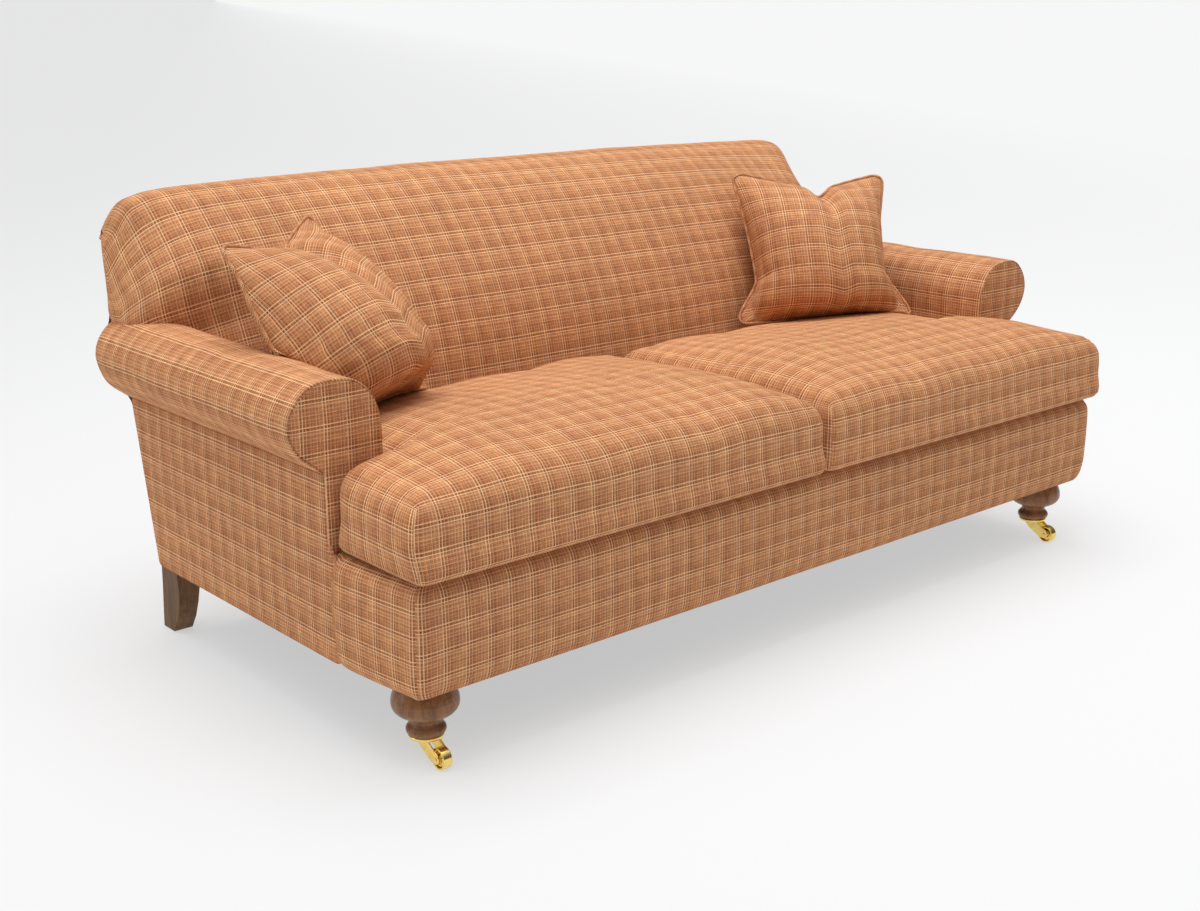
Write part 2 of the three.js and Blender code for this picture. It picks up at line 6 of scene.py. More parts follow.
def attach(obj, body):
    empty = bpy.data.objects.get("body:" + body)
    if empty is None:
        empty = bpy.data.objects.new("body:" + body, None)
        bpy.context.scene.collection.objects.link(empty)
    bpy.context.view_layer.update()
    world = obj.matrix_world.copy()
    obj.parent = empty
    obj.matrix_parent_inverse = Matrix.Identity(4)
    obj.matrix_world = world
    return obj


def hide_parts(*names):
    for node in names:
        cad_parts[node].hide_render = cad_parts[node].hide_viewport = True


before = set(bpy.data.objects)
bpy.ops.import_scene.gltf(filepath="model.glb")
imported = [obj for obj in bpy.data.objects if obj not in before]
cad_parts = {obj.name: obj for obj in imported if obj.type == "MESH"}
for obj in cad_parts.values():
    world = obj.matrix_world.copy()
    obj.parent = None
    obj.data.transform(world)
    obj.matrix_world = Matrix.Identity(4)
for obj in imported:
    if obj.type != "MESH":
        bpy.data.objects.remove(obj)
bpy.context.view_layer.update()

# Lengths in this file are metres. Shapes are written from the front leg axis (y = 0); the frame's
# origin is YC behind it.
YC = 0.43965
PITCH = 0.0455              # repeat of the plaid

# ------------------------------------------------------------------ numbers
def lin(r, g, b):
    return tuple((c / 255 / 12.92) if c / 255 <= 0.04045 else ((c / 255 + 0.055) / 1.055) ** 2.4 for c in (r, g, b))

def pchip(x, y, q):
    """monotone cubic through (x, y) at q; y may have columns"""
    x = np.asarray(x, float); y = np.asarray(y, float); q = np.asarray(q, float)
    flat = y.ndim == 1
    if flat: y = y[:, None]
    h = np.diff(x)[:, None]; d = np.diff(y, axis=0) / h
    m = np.zeros_like(y)
    m[0], m[-1] = d[0], d[-1]
    for i in range(1, len(x) - 1):
        a, b = d[i - 1], d[i]
        w1, w2 = 2 * h[i] + h[i - 1], h[i] + 2 * h[i - 1]
        with np.errstate(divide="ignore", invalid="ignore"):
            v = (w1 + w2) / (w1 / a + w2 / b)
        m[i] = np.where(a * b > 0, v, 0.0)
    k = np.clip(np.searchsorted(x, q) - 1, 0, len(x) - 2)
    t = ((q - x[k]) / (x[k + 1] - x[k]))[..., None]
    hh = (x[k + 1] - x[k])[..., None]
    r = (2 * t**3 - 3 * t**2 + 1) * y[k] + (t**3 - 2 * t**2 + t) * hh * m[k] + (-2 * t**3 + 3 * t**2) * y[k + 1] + (t**3 - t**2) * hh * m[k + 1]
    return r[..., 0] if flat else r

def smooth(a, b, x):
    t = np.clip((np.asarray(x, float) - a) / (b - a), 0, 1)
    return t * t * (3 - 2 * t)

def wobble(p, scale, seed):
    """gentle repeatable unevenness, about -1 to 1, from sums of sines"""
    rng = np.random.RandomState(seed)
    out = np.zeros(p.shape[:-1])
    for i in range(9):
        k = rng.normal(size=3); k /= np.linalg.norm(k)
        f = 2 * math.pi / (scale * rng.uniform(0.6, 1.9))
        out += np.sin(p @ (k * f) + rng.uniform(0, 6.28))
    return out / 3.2

def arc(pts):
    d = np.linalg.norm(np.diff(pts, axis=0), axis=1)
    return np.concatenate([[0], np.cumsum(d)])

def resample(pts, n, close=False):
    pts = np.asarray(pts, float)
    if close: pts = np.vstack([pts, pts[:1]])
    s = arc(pts)
    q = np.linspace(0, s[-1], n + 1)[:-1] if close else np.linspace(0, s[-1], n)
    return np.stack([np.interp(q, s, pts[:, k]) for k in range(pts.shape[1])], 1)

def rounded(pts, n, passes, close=False):
    """resampled polyline with its corners eased by repeated averaging"""
    r = resample(pts, n, close)
    for _ in range(passes):
        if close:
            r = (np.roll(r, 1, 0) + 2 * r + np.roll(r, -1, 0)) / 4
        else:
            m = r.copy(); m[1:-1] = (r[:-2] + 2 * r[1:-1] + r[2:]) / 4; r = m
    return r

def edge_distance(q, poly, close=True):
    """distance of points q (n, 2) from a polyline"""
    a = np.asarray(poly, float); b = np.roll(a, -1, 0)
    if not close: a, b = a[:-1], b[:-1]
    ab = b - a; L = (ab**2).sum(1)
    best = np.full(len(q), 1e9)
    for i in range(len(a)):
        t = np.clip(((q - a[i]) @ ab[i]) / max(L[i], 1e-12), 0, 1)
        best = np.minimum(best, np.linalg.norm(q - (a[i] + t[:, None] * ab[i]), axis=1))
    return best

# ------------------------------------------------------------------ meshes
def mesh_object(name, verts, faces, cloth=None, material=None, flat=False):
    """verts in lengths from the front leg axis; cloth is one (u, v) per vertex or per face corner"""
    v = np.asarray(verts, float).copy(); v[:, 1] -= YC
    me = bpy.data.meshes.new(name)
    me.from_pydata(v.tolist(), [], [list(map(int, f)) for f in faces])
    me.update()
    if cloth is not None:
        c = np.asarray(cloth, float)
        if len(c) == len(v) and len(c) != len(me.loops):
            idx = np.empty(len(me.loops), int); me.loops.foreach_get("vertex_index", idx)
            c = c[idx]
        at = me.attributes.new("cloth", "FLOAT_VECTOR", "CORNER")
        full = np.zeros((len(me.loops), 3)); full[:, :2] = c[:, :2]
        at.data.foreach_set("vector", full.astype(np.float32).ravel())
    if not flat: me.polygons.foreach_set("use_smooth", [True] * len(me.polygons))
    ob = bpy.data.objects.new(name, me)
    bpy.context.scene.collection.objects.link(ob)
    if material: me.materials.append(material)
    return ob

def grid_faces(m, n, close_m=False, close_n=False, start=0):
    i = np.arange(m if close_m else m - 1); j = np.arange(n if close_n else n - 1)
    I, J = np.meshgrid(i, j, indexing="ij")
    a = I * n + J; b = ((I + 1) % m) * n + J; c = ((I + 1) % m) * n + (J + 1) % n; d = I * n + (J + 1) % n
    return np.stack([a, b, c, d], -1).reshape(-1, 4) + start

def grid_object(name, P, C, material, flip=False, **kw):
    m, n = P.shape[:2]
    f = grid_faces(m, n)
    if flip: f = f[:, ::-1]
    return mesh_object(name, P.reshape(-1, 3), f, C.reshape(-1, 2), material, **kw)

def face_outwards(ob, centre=None):
    bm = bmesh.new(); bm.from_mesh(ob.data)
    bmesh.ops.recalc_face_normals(bm, faces=bm.faces)
    bm.to_mesh(ob.data); bm.free()

def mirrored(ob, name, shift=(0.0, 0.0)):
    """the same piece on the other side; its cloth is cut afresh, so the check isn't mirrored"""
    me = ob.data.copy(); me.name = name
    n = len(me.vertices)
    co = np.empty(n * 3, np.float32); me.vertices.foreach_get("co", co)
    co = co.reshape(-1, 3); co[:, 0] *= -1; me.vertices.foreach_set("co", co.ravel())
    me.flip_normals()
    at = me.attributes.get("cloth")
    if at:
        c = np.empty(len(me.loops) * 3, np.float32); at.data.foreach_get("vector", c)
        c = c.reshape(-1, 3); c[:, 0] = -c[:, 0] + shift[0]; c[:, 1] += shift[1]
        at.data.foreach_set("vector", c.ravel())
    me.update()
    o = bpy.data.objects.new(name, me)
    bpy.context.scene.collection.objects.link(o)
    return o

def apply_modifiers(ob):
    dg = bpy.context.evaluated_depsgraph_get()
    me = bpy.data.meshes.new_from_object(ob.evaluated_get(dg), preserve_all_data_layers=True, depsgraph=dg)
    old = ob.data; ob.modifiers.clear(); ob.data = me; me.name = ob.name

# ------------------------------------------------------------------ materials
class Nodes:
    """small helper that lays out a material's nodes"""
    def __init__(self, name):
        self.m = bpy.data.materials.new(name); self.m.use_nodes = True
        self.t = self.m.node_tree; self.t.nodes.clear()
        self.out = self.t.nodes.new("ShaderNodeOutputMaterial")
        self.bsdf = self.t.nodes.new("ShaderNodeBsdfPrincipled")
        self.t.links.new(self.bsdf.outputs[0], self.out.inputs[0])
    def node(self, kind, **kw):
        n = self.t.nodes.new(kind)
        for k, v in kw.items(): setattr(n, k, v)
        return n
    def link(self, a, b): self.t.links.new(a, b)
    def put(self, socket, v):
        if isinstance(v, (int, float)): socket.default_value = v
        elif isinstance(v, tuple): socket.default_value = v if len(v) != 3 or socket.type == "VECTOR" else (*v, 1)
        else: self.link(v, socket)
    def math(self, op, a, b=0.0, c=0.0, clamp=False):
        n = self.node("ShaderNodeMath", operation=op, use_clamp=clamp)
        for s, v in zip(n.inputs, (a, b, c)): self.put(s, v)
        return n.outputs[0]
    def mix(self, f, a, b, mode="MIX"):
        n = self.node("ShaderNodeMix", data_type="RGBA", blend_type=mode)
        self.put(n.inputs[0], f); self.put(n.inputs[6], a); self.put(n.inputs[7], b)
        return n.outputs[2]
    def noise(self, vec, scale, detail=3.0, rough=0.5, dim="3D"):
        n = self.node("ShaderNodeTexNoise", noise_dimensions=dim)
        if vec is not None: self.link(vec, n.inputs["Vector"])
        n.inputs["Scale"].default_value = scale; n.inputs["Detail"].default_value = detail; n.inputs["Roughness"].default_value = rough
        return n.outputs[0]
    def ramp(self, fac, stops, interp="LINEAR"):
        n = self.node("ShaderNodeValToRGB"); cr = n.color_ramp; cr.interpolation = interp
        while len(cr.elements) > 1: cr.elements.remove(cr.elements[-1])
        for i, (p, c) in enumerate(stops):
            e = cr.elements[0] if i == 0 else cr.elements.new(p)
            e.position = p; e.color = (*c, 1) if isinstance(c, tuple) else (c, c, c, 1)
        self.link(fac, n.inputs[0])
        return n.outputs[0]
    def bump(self, height, strength, distance, normal=None):
        n = self.node("ShaderNodeBump"); n.inputs["Strength"].default_value = strength; n.inputs["Distance"].default_value = distance
        self.link(height, n.inputs["Height"])
        if normal: self.link(normal, n.inputs["Normal"])
        return n.outputs[0]
    def coords(self, which="Object"):
        return self.node("ShaderNodeTexCoord").outputs[which]
    def finish(self, **kw):
        for k, v in kw.items(): self.put(self.bsdf.inputs[k], v)
        return self.m

PITCH_U, PITCH_V = 0.0463, 0.0470
MEAN = np.array((.514, .207, .092))
CREAM = (.98, .60, .33)

def line_stops(pitch, lines, half=0.00085, soft=0.0006):
    """strength of the light threads over one repeat: (place in mm, strength)"""
    out = [(0.0, lines[0][1]), (half / pitch, lines[0][1]), ((half + soft) / pitch, 0.0)]
    for mm, k in lines[1:]:
        x = mm / 1000
        out += [((x - half - soft) / pitch, 0.0), ((x - half) / pitch, k), ((x + half) / pitch, k), ((x + half + soft) / pitch, 0.0)]
    return out + [(1 - (half + soft) / pitch, 0.0), (1 - half / pitch, lines[0][1])]

def ground_stops(pitch, rows):
    """ground colour over one repeat: (place in mm, red, green, blue as parts of the mean)"""
    return [(mm / 1000 / pitch, tuple(float(v) for v in np.clip(MEAN * (r, g, b), 0, .97))) for mm, r, g, b in rows]

def plaid_material(name, tint=1.0):
    n = Nodes(name)
    at = n.node("ShaderNodeAttribute", attribute_name="cloth", attribute_type="GEOMETRY")
    sep = n.node("ShaderNodeSeparateXYZ"); n.link(at.outputs["Vector"], sep.inputs[0])
    u, v = sep.outputs[0], sep.outputs[1]
    # yarns wander a little
    wander = n.noise(at.outputs["Vector"], 9.0, 2.0)
    off = n.math("MULTIPLY", n.math("SUBTRACT", wander, 0.5), 0.0014)
    fu = n.math("FRACT", n.math("DIVIDE", n.math("ADD", u, off), PITCH_U))
    fv = n.math("FRACT", n.math("DIVIDE", n.math("SUBTRACT", off, v), PITCH_V))
    # each way the ground runs from dark beside one pair of light threads to pale beside the next
    D, P = (.47, .37, .28), (1.20, 1.32, 1.42)
    ground_u = ground_stops(PITCH_U, [(0, *D), (2.0, *D), (3.0, .74, .62, .50), (8.2, .76, .64, .52), (9.4, .60, .46, .36), (11.6, .92, .84, .72), (16.6, .96, .90, .80), (17.6, .66, .56, .46),
        (20.8, 1.0, .98, .92), (24.6, 1.0, 1.0, .94), (28.4, .72, .64, .54), (30.0, 1.10, 1.16, 1.18), (34.6, 1.12, 1.18, 1.20), (38.8, *P), (39.4, *P), (41.8, *D), (46.2, *D)])
    ground_v = ground_stops(PITCH_V, [(0, *D), (1.8, *D), (2.8, *P), (8.0, 1.12, 1.22, 1.28), (9.4, .74, .66, .56), (11.6, 1.08, 1.16, 1.18), (16.6, 1.04, 1.08, 1.06), (22.4, .62, .52, .42),
        (24.6, .94, .88, .80), (29.6, .78, .66, .54), (30.6, .58, .46, .36), (34.6, .72, .58, .46), (38.6, .70, .56, .44), (41.4, *D), (46.8, *D)])
    lines_u = line_stops(PITCH_U, [(0, .92), (6.3, .44), (14.3, .28), (19.2, .26), (26.4, .48), (32.6, .34), (40.3, .86)])
    lines_v = line_stops(PITCH_V, [(0, 1.0), (5.8, .50), (13.8, .36), (20.1, .52), (27.3, .30), (32.3, .30), (40.0, 1.0)])
    ground = n.mix(0.5, n.ramp(fu, ground_u), n.ramp(fv, ground_v))
    lu, lv = n.ramp(fu, lines_u), n.ramp(fv, lines_v)
    # light threads pass over and under the darker ones
    both = n.math("MULTIPLY_ADD", n.math("MINIMUM", lu, lv), 0.3, n.math("MAXIMUM", lu, lv))
    base = n.mix(n.math("MULTIPLY", both, 0.73, clamp=True), ground, CREAM)
    # fine thread check
    def threads(c, pitch, count, phase):
        return n.math("SINE", n.math("MULTIPLY_ADD", c, 2 * math.pi * count / pitch, phase))
    tu, tv = threads(u, PITCH_U, 16, 0.4), threads(v, PITCH_V, 16, 1.1)
    check = n.math("MULTIPLY_ADD", n.math("ADD", tu, tv), 0.085, 1.0)
    # slub: streaks along each yarn direction
    mp1 = n.node("ShaderNodeMapping"); mp1.inputs["Scale"].default_value = (800, 70, 1); n.link(at.outputs["Vector"], mp1.inputs[0])
    mp2 = n.node("ShaderNodeMapping"); mp2.inputs["Scale"].default_value = (70, 800, 1); n.link(at.outputs["Vector"], mp2.inputs[0])
    mp3 = n.node("ShaderNodeMapping"); mp3.inputs["Scale"].default_value = (60, 16, 1); n.link(at.outputs["Vector"], mp3.inputs[0])
    mp4 = n.node("ShaderNodeMapping"); mp4.inputs["Scale"].default_value = (16, 60, 1); mp4.inputs["Location"].default_value = (3.7, 9.1, 0); n.link(at.outputs["Vector"], mp4.inputs[0])
    s1, s2 = n.noise(mp1.outputs[0], 1.0, 2.0), n.noise(mp2.outputs[0], 1.0, 2.0)
    slub = n.math("MULTIPLY_ADD", n.math("SUBTRACT", n.math("ADD", s1, s2), 1.0), 0.80, 1.0)
    # broad unevenness of dye and wear
    cloud = n.math("MULTIPLY_ADD", n.math("SUBTRACT", n.noise(n.coords(), 4.5, 3.0), 0.5), 0.22, 1.0)
    val = n.math("MULTIPLY", n.math("MULTIPLY", check, slub), n.math("MULTIPLY", cloud, tint))
    dye = n.math("ADD", n.noise(mp3.outputs[0], 1.0, 2.0), n.noise(mp4.outputs[0], 1.0, 2.0))
    hue = n.math("MULTIPLY_ADD", n.math("SUBTRACT", dye, 1.0), 0.016, 0.5)
    val = n.math("MULTIPLY", val, n.math("MULTIPLY_ADD", n.math("SUBTRACT", dye, 1.0), 0.35, 1.0))
    hsv = n.node("ShaderNodeHueSaturation"); n.link(base, hsv.inputs["Color"]); n.link(val, hsv.inputs["Value"]); n.link(hue, hsv.inputs["Hue"])
    # weave relief
    wu = n.math("SINE", n.math("MULTIPLY", u, 2 * math.pi / 0.0014))
    wv = n.math("SINE", n.math("MULTIPLY", v, 2 * math.pi / 0.0014))
    h = n.math("ADD", n.math("MULTIPLY", n.math("MULTIPLY", wu, wv), 0.5), n.math("ADD", s1, s2))
    nor = n.bump(h, 0.35, 0.0006)
    nor = n.bump(n.noise(n.coords(), 38.0, 3.0), 0.10, 0.002, nor)
    n.link(nor, n.bsdf.inputs["Normal"])
    rough = n.math("MULTIPLY_ADD", s1, 0.12, 0.80)
    return n.finish(**{"Base Color": hsv.outputs[0], "Roughness": rough, "Sheen Weight": 0.12, "Sheen Roughness": 0.55, "Sheen Tint": lin(250, 180, 115), "Specular IOR Level": 0.12})

def wood_material(name, dark, light, gloss=0.35, along="Z", coat=0.05):
    n = Nodes(name)
    co = n.coords()
    mp = n.node("ShaderNodeMapping"); mp.inputs["Scale"].default_value = {"Z": (60, 60, 5), "X": (5, 60, 60), "Y": (60, 5, 60)}[along]; n.link(co, mp.inputs[0])
    g1 = n.noise(mp.outputs[0], 1.3, 6.0, 0.65)
    mp2 = n.node("ShaderNodeMapping"); mp2.inputs["Scale"].default_value = {"Z": (500, 500, 22), "X": (22, 500, 500), "Y": (500, 22, 500)}[along]; n.link(co, mp2.inputs[0])
    g2 = n.noise(mp2.outputs[0], 1.0, 3.0, 0.6)
    f = n.math("ADD", n.math("MULTIPLY", g1, 0.65), n.math("MULTIPLY", g2, 0.35))
    col = n.ramp(f, [(0.30, dark), (0.46, tuple((a + b) / 2 for a, b in zip(dark, light))), (0.56, light), (0.70, tuple(0.8 * c for c in light))])
    nor = n.bump(g2, 0.12, 0.0005)
    n.link(nor, n.bsdf.inputs["Normal"])
    r = n.math("MULTIPLY_ADD", g1, 0.18, gloss - 0.06)
    return n.finish(**{"Base Color": col, "Roughness": r, "Coat Weight": coat, "Coat Roughness": 0.28, "Specular IOR Level": 0.3})

def metal_material(name, a, b, rough=0.2, brushed=False):
    n = Nodes(name)
    co = n.coords()
    t = n.noise(co, 55.0, 4.0, 0.6)
    col = n.mix(n.ramp(t, [(0.35, 0.0), (0.7, 1.0)]), a, b)
    fine = n.noise(co, 900.0 if not brushed else 350.0, 2.0)
    nor = n.bump(fine, 0.05 if not brushed else 0.15, 0.0002)
    n.link(nor, n.bsdf.inputs["Normal"])
    r = n.math("MULTIPLY_ADD", n.noise(co, 25.0, 3.0), 0.16, rough - 0.06)
    return n.finish(**{"Base Color": col, "Roughness": r, "Metallic": 1.0})

def cloth_plain(name, a, b, scale=0.0012, rough=0.9):
    n = Nodes(name)
    co = n.coords()
    sep = n.node("ShaderNodeSeparateXYZ"); n.link(co, sep.inputs[0])
    w = 2 * math.pi / scale
    s = n.math("ADD", n.math("SINE", n.math("MULTIPLY", sep.outputs[0], w)), n.math("ADD", n.math("SINE", n.math("MULTIPLY", sep.outputs[1], w)), n.math("SINE", n.math("MULTIPLY", sep.outputs[2], w))))
    f = n.math("ADD", n.math("MULTIPLY", n.noise(co, 20.0, 4.0), 0.8), n.math("MULTIPLY", s, 0.06))
    col = n.mix(n.ramp(f, [(0.2, 0.0), (0.7, 1.0)]), a, b)
    nor = n.bump(s, 0.25, 0.0003); n.link(nor, n.bsdf.inputs["Normal"])
    return n.finish(**{"Base Color": col, "Roughness": rough, "Sheen Weight": 0.15})

def webbing_material(name):
    n = Nodes(name)
    co = n.coords()
    sep = n.node("ShaderNodeSeparateXYZ"); n.link(co, sep.inputs[0])
    s = n.math("MULTIPLY", n.math("SINE", n.math("MULTIPLY", sep.outputs[0], 2100.0)), n.math("SINE", n.math("MULTIPLY", sep.outputs[1], 2100.0)))
    f = n.math("ADD", n.noise(co, 40.0, 4.0), n.math("MULTIPLY", s, 0.2))
    col = n.mix(n.ramp(f, [(0.3, 0.0), (0.75, 1.0)]), lin(132, 104, 66), lin(186, 154, 106))
    nor = n.bump(s, 0.5, 0.0006); n.link(nor, n.bsdf.inputs["Normal"])
    return n.finish(**{"Base Color": col, "Roughness": 0.92})

PLAID = plaid_material("plaid_cloth")
DARKWOOD = wood_material("dark_stained_wood", lin(70, 46, 25), lin(120, 84, 48), 0.55)
BEECH = wood_material("planed_beech", lin(176, 138, 92), lin(214, 180, 132), 0.6, "X")
BRASS = metal_material("polished_brass", lin(250, 212, 112), lin(255, 232, 150), 0.17)
STEEL = metal_material("zinc_steel", lin(150, 152, 156), lin(180, 182, 184), 0.35, True)
JUTE = webbing_material("jute_webbing")
CALICO = cloth_plain("platform_cloth", lin(150, 104, 70), lin(176, 126, 88))
LINING = cloth_plain("black_lining", lin(22, 22, 24), lin(40, 40, 43))
FELT = cloth_plain("felt", lin(58, 54, 48), lin(84, 78, 70), 0.0007)

# ------------------------------------------------------------------ the rake of the back
RAKE = 0.206
def y_rear(z): return 0.836 + RAKE * (np.asarray(z) - 0.153)

# ------------------------------------------------------------------ inside back and top
PROFILE = np.array([(.562, .357), (.572, .43), (.580, .48), (.590, .531), (.603, .581), (.621, .631), (.643, .680), (.671, .728), (.703, .776), (.740, .824),
    (.762, .848), (.788, .871), (.822, .894), (.855, .909), (.885, .9165), (.915, .9175), (.945, .911), (.966, .898), (.977, .880), (.9765, .862)])
XS = [0, .3, .4, .5, .6, .7, .8, .85, .90, .93, .96, .98, .992, 1.0]
HI = [0, 0, .002, .005, .010, .019, .031, .041, .060, .080, .108, .140, .168, .205]
LO = [0, 0, .002, .005, .012, .030, .070, .108, .145, .160, .172, .180, .192, .215]
TOP = [0, 0, .001, .002, .004, .005, .007, .009, .013, .019, .028, .047, .068, .0875]
# the last section at each end: (y, z) against the same rows as PROFILE, from row 12 up
END = [(.935, .745), (.942, .772), (.948, .797), (.954, .816), (.960, .827), (.966, .8300), (.974, .826), (.978, .812)]

def back_surface(s_rows, x_cols):
    """points at arc length s from the foot of the back and at x, before the ends are closed"""
    S = arc(PROFILE)
    T = np.gradient(PROFILE, S, axis=0); T /= np.linalg.norm(T, axis=1, keepdims=True)
    N = np.stack([T[:, 1], -T[:, 0]], 1)
    wl = smooth(.69, .81, PROFILE[:, 1])
    end = PROFILE + N * (LO[-1] * (1 - wl) + HI[-1] * wl)[:, None]
    end[12:] = END
    C = pchip(S, PROFILE, s_rows); E = pchip(S, end, s_rows)
    for _ in range(3): E[1:-1] = (E[:-2] + 2 * E[1:-1] + E[2:]) / 4
    ax = np.abs(x_cols)
    hi, lo, top = pchip(XS, HI, ax) / HI[-1], pchip(XS, LO, ax) / LO[-1], pchip(XS, TOP, ax) / TOP[-1]
    wl = smooth(.69, .81, C[:, 1])[:, None]; wt = smooth(S[10], S[14], s_rows)[:, None]
    By = lo * (1 - wl) + hi * wl
    Bz = By * (1 - wt) + top * wt
    P = np.zeros((len(s_rows), len(x_cols), 3))
    P[..., 0] = x_cols
    P[..., 1] = C[:, 0:1] + (E[:, 0:1] - C[:, 0:1]) * By
    P[..., 2] = C[:, 1:2] + (E[:, 1:2] - C[:, 1:2]) * Bz
    return P

def dense_ends(n_mid, n_end, lim=1.0, knee=0.78):
    a = np.linspace(0, knee, n_mid)
    b = knee + (lim - knee) * (1 - (1 - np.linspace(0, 1, n_end + 1)[1:]) ** 1.5)
    h = np.concatenate([a, b])
    return np.concatenate([-h[:0:-1], h])

def make_back():
    S = arc(PROFILE)
    s_rows = np.linspace(0, S[-1], 100)
    xs = dense_ends(30, 26)
    P = back_surface(s_rows, xs)
    # the lower back narrows to pass inside the arms
    z = P[..., 2]
    ext = pchip([.30, .590, .605, .623, .643, .665, .70, .743, .78, .802, .8155, .8195, .95],
                [.962, .962, .966, .984, 1.002, 1.005, 1.001, .997, .995, .993, .990, .9855, .9855], z)
    P[..., 0] *= np.where(np.abs(P[..., 0]) > 0.9, 1 - (1 - ext) * smooth(.9, 1.0, np.abs(P[..., 0])), 1.0)
    # wrap the ends to the rear plane
    cols = [P]
    n_side = 8
    for sign, k in ((-1, 0), (1, -1)):
        edge = P[:, k]
        yr = np.maximum(y_rear(edge[:, 2]) - 0.002, edge[:, 1])
        strip = []
        for t in np.linspace(0, 1, n_side + 1)[1:]:
            q = edge.copy()
            q[:, 1] = edge[:, 1] + (yr - edge[:, 1]) * t
            q[:, 0] = edge[:, 0] + sign * (0.004 * math.sin(math.pi * min(t, 0.999)) * np.clip((yr - edge[:, 1]) / 0.05, 0, 1) - 0.006 * t * t)
            q[:, 2] = edge[:, 2] - 0.004 * t * t * smooth(.80, .83, edge[:, 2])
            strip.append(q)
        strip = np.stack(strip, 1)
        cols = [strip[:, ::-1]] + cols if sign < 0 else cols + [strip]
    G = np.concatenate(cols, 1)
    # padding is never quite even
    nrm = np.zeros_like(G); nrm[..., 1] = -0.8; nrm[..., 2] = 0.6
    fade = smooth(0.0, 0.06, s_rows)[:, None] * smooth(0.0, 0.06, s_rows[-1] - s_rows)[:, None]
    G += nrm * (0.0016 * wobble(G, 0.28, 3) * fade)[..., None]
    # nothing stands out behind the outside back
    G[..., 1] = np.minimum(G[..., 1], y_rear(G[..., 2]) + 0.0006)
    # the lower rear edge turns in behind the outside back
    G = np.concatenate([G, G[-1:] + np.array([0, -.004, -.0025]), G[-1:] + np.array([0, -.011, -.006])])
    # cloth: v up the profile, u outwards from the middle along each row
    du = np.linalg.norm(np.diff(G, axis=1), axis=2)
    mid = G.shape[1] // 2
    U = np.zeros(G.shape[:2])
    U[:, mid + 1:] = np.cumsum(du[:, mid:], axis=1)
    U[:, :mid] = -np.cumsum(du[:, :mid][:, ::-1], axis=1)[:, ::-1]
    V = np.repeat(np.concatenate([s_rows, s_rows[-1] + [.0047, .0125]])[:, None], G.shape[1], 1)
    ob = grid_object("inside_back_cover", G, np.stack([U, V * 0.93 + 0.0455], -1), PLAID)
    face_outwards(ob)
    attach(ob, "frame"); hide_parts("back_pad")
    return ob

make_back()

# ------------------------------------------------------------------ flat padded panels
def panel(name, rows, lo, hi, nq, place, outline, edge_r, puff, cloth, pad=None):
    """a panel filled row by row between lo(r) and hi(r); its edges roll back over edge_r.
    place(a, b, depth) gives the point in space, depth counted inwards"""
    q = 0.5 - 0.5 * np.cos(np.linspace(0, math.pi, nq))
    q = 0.35 * q + 0.65 * (0.5 + 0.5 * np.sign(np.linspace(-1, 1, nq)) * (1 - (1 - np.abs(np.linspace(-1, 1, nq))) ** 1.35))
    A = lo[:, None] + (hi - lo)[:, None] * q[None]
    B = np.repeat(rows[:, None], nq, 1)
    d = edge_distance(np.stack([A.ravel(), B.ravel()], 1), outline).reshape(A.shape)
    t = np.clip(d / edge_r, 0, 1)
    depth = edge_r * (1 - np.sqrt(np.clip(1 - (1 - t) ** 2, 0, 1))) - puff * smooth(0, 0.12, d)
    P = place(A, B, depth)
    ob = grid_object(name, P, np.stack([A + cloth[0], B + cloth[1]], -1), PLAID)
    return ob

def outline_rows(poly, zs):
    """left and right edge of a closed outline at each height"""
    poly = np.asarray(poly, float); a, b = poly, np.roll(poly, -1, 0)
    lo, hi = [], []
    for z in zs:
        hit = []
        for p, q in zip(a, b):
            if (p[1] - z) * (q[1] - z) <= 0 and p[1] != q[1]:
                hit.append(p[0] + (q[0] - p[0]) * (z - p[1]) / (q[1] - p[1]))
        lo.append(min(hit)); hi.append(max(hit))
    return np.array(lo), np.array(hi)

def graded(a, b, n, k=1.6):
    """heights from a to b, closer together near both ends"""
    t = np.linspace(-1, 1, n)
    q = 0.5 + 0.5 * np.sign(t) * (1 - (1 - np.abs(t)) ** k)
    return a + (b - a) * q

# outside back: raked panel with the ends of the arm rolls and eased upper corners
def make_outside_back():
    half = [(.981, .1480), (.981, .488), (.9815, .4990), (.9930, .5088), (1.0090, .5208), (1.0245, .5360), (1.0340, .5500), (1.0365, .5680), (1.0372, .5830),
            (1.0340, .5985), (1.0262, .6130), (1.0135, .6285), (1.001, .6385), (.998, .650), (.996, .700), (.991, .750), (.9885, .785), (.986, .800), (.983, .810),
            (.976, .8215), (.966, .832), (.950, .8425), (.927, .8495), (.900, .853), (.80, .8565), (0, .8605)]
    out = np.array([(-x, z) for x, z in half] + [(x, z) for x, z in half[::-1]])
    out = rounded(out, 420, 6, True)
    zs = graded(.1482, out[:, 1].max() - 1e-5, 96, 1.5)
    lo, hi = outline_rows(out, zs)
    def place(a, b, depth):
        return np.stack([a, y_rear(b) - depth, b], -1)
    ob = panel("outside_back_cover", zs, lo, hi, 120, place, out, 0.0055, 0.0035, (0.011, 0.004))
    face_outwards(ob)
    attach(ob, "frame"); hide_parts("outside_back")
    return ob
make_outside_back()

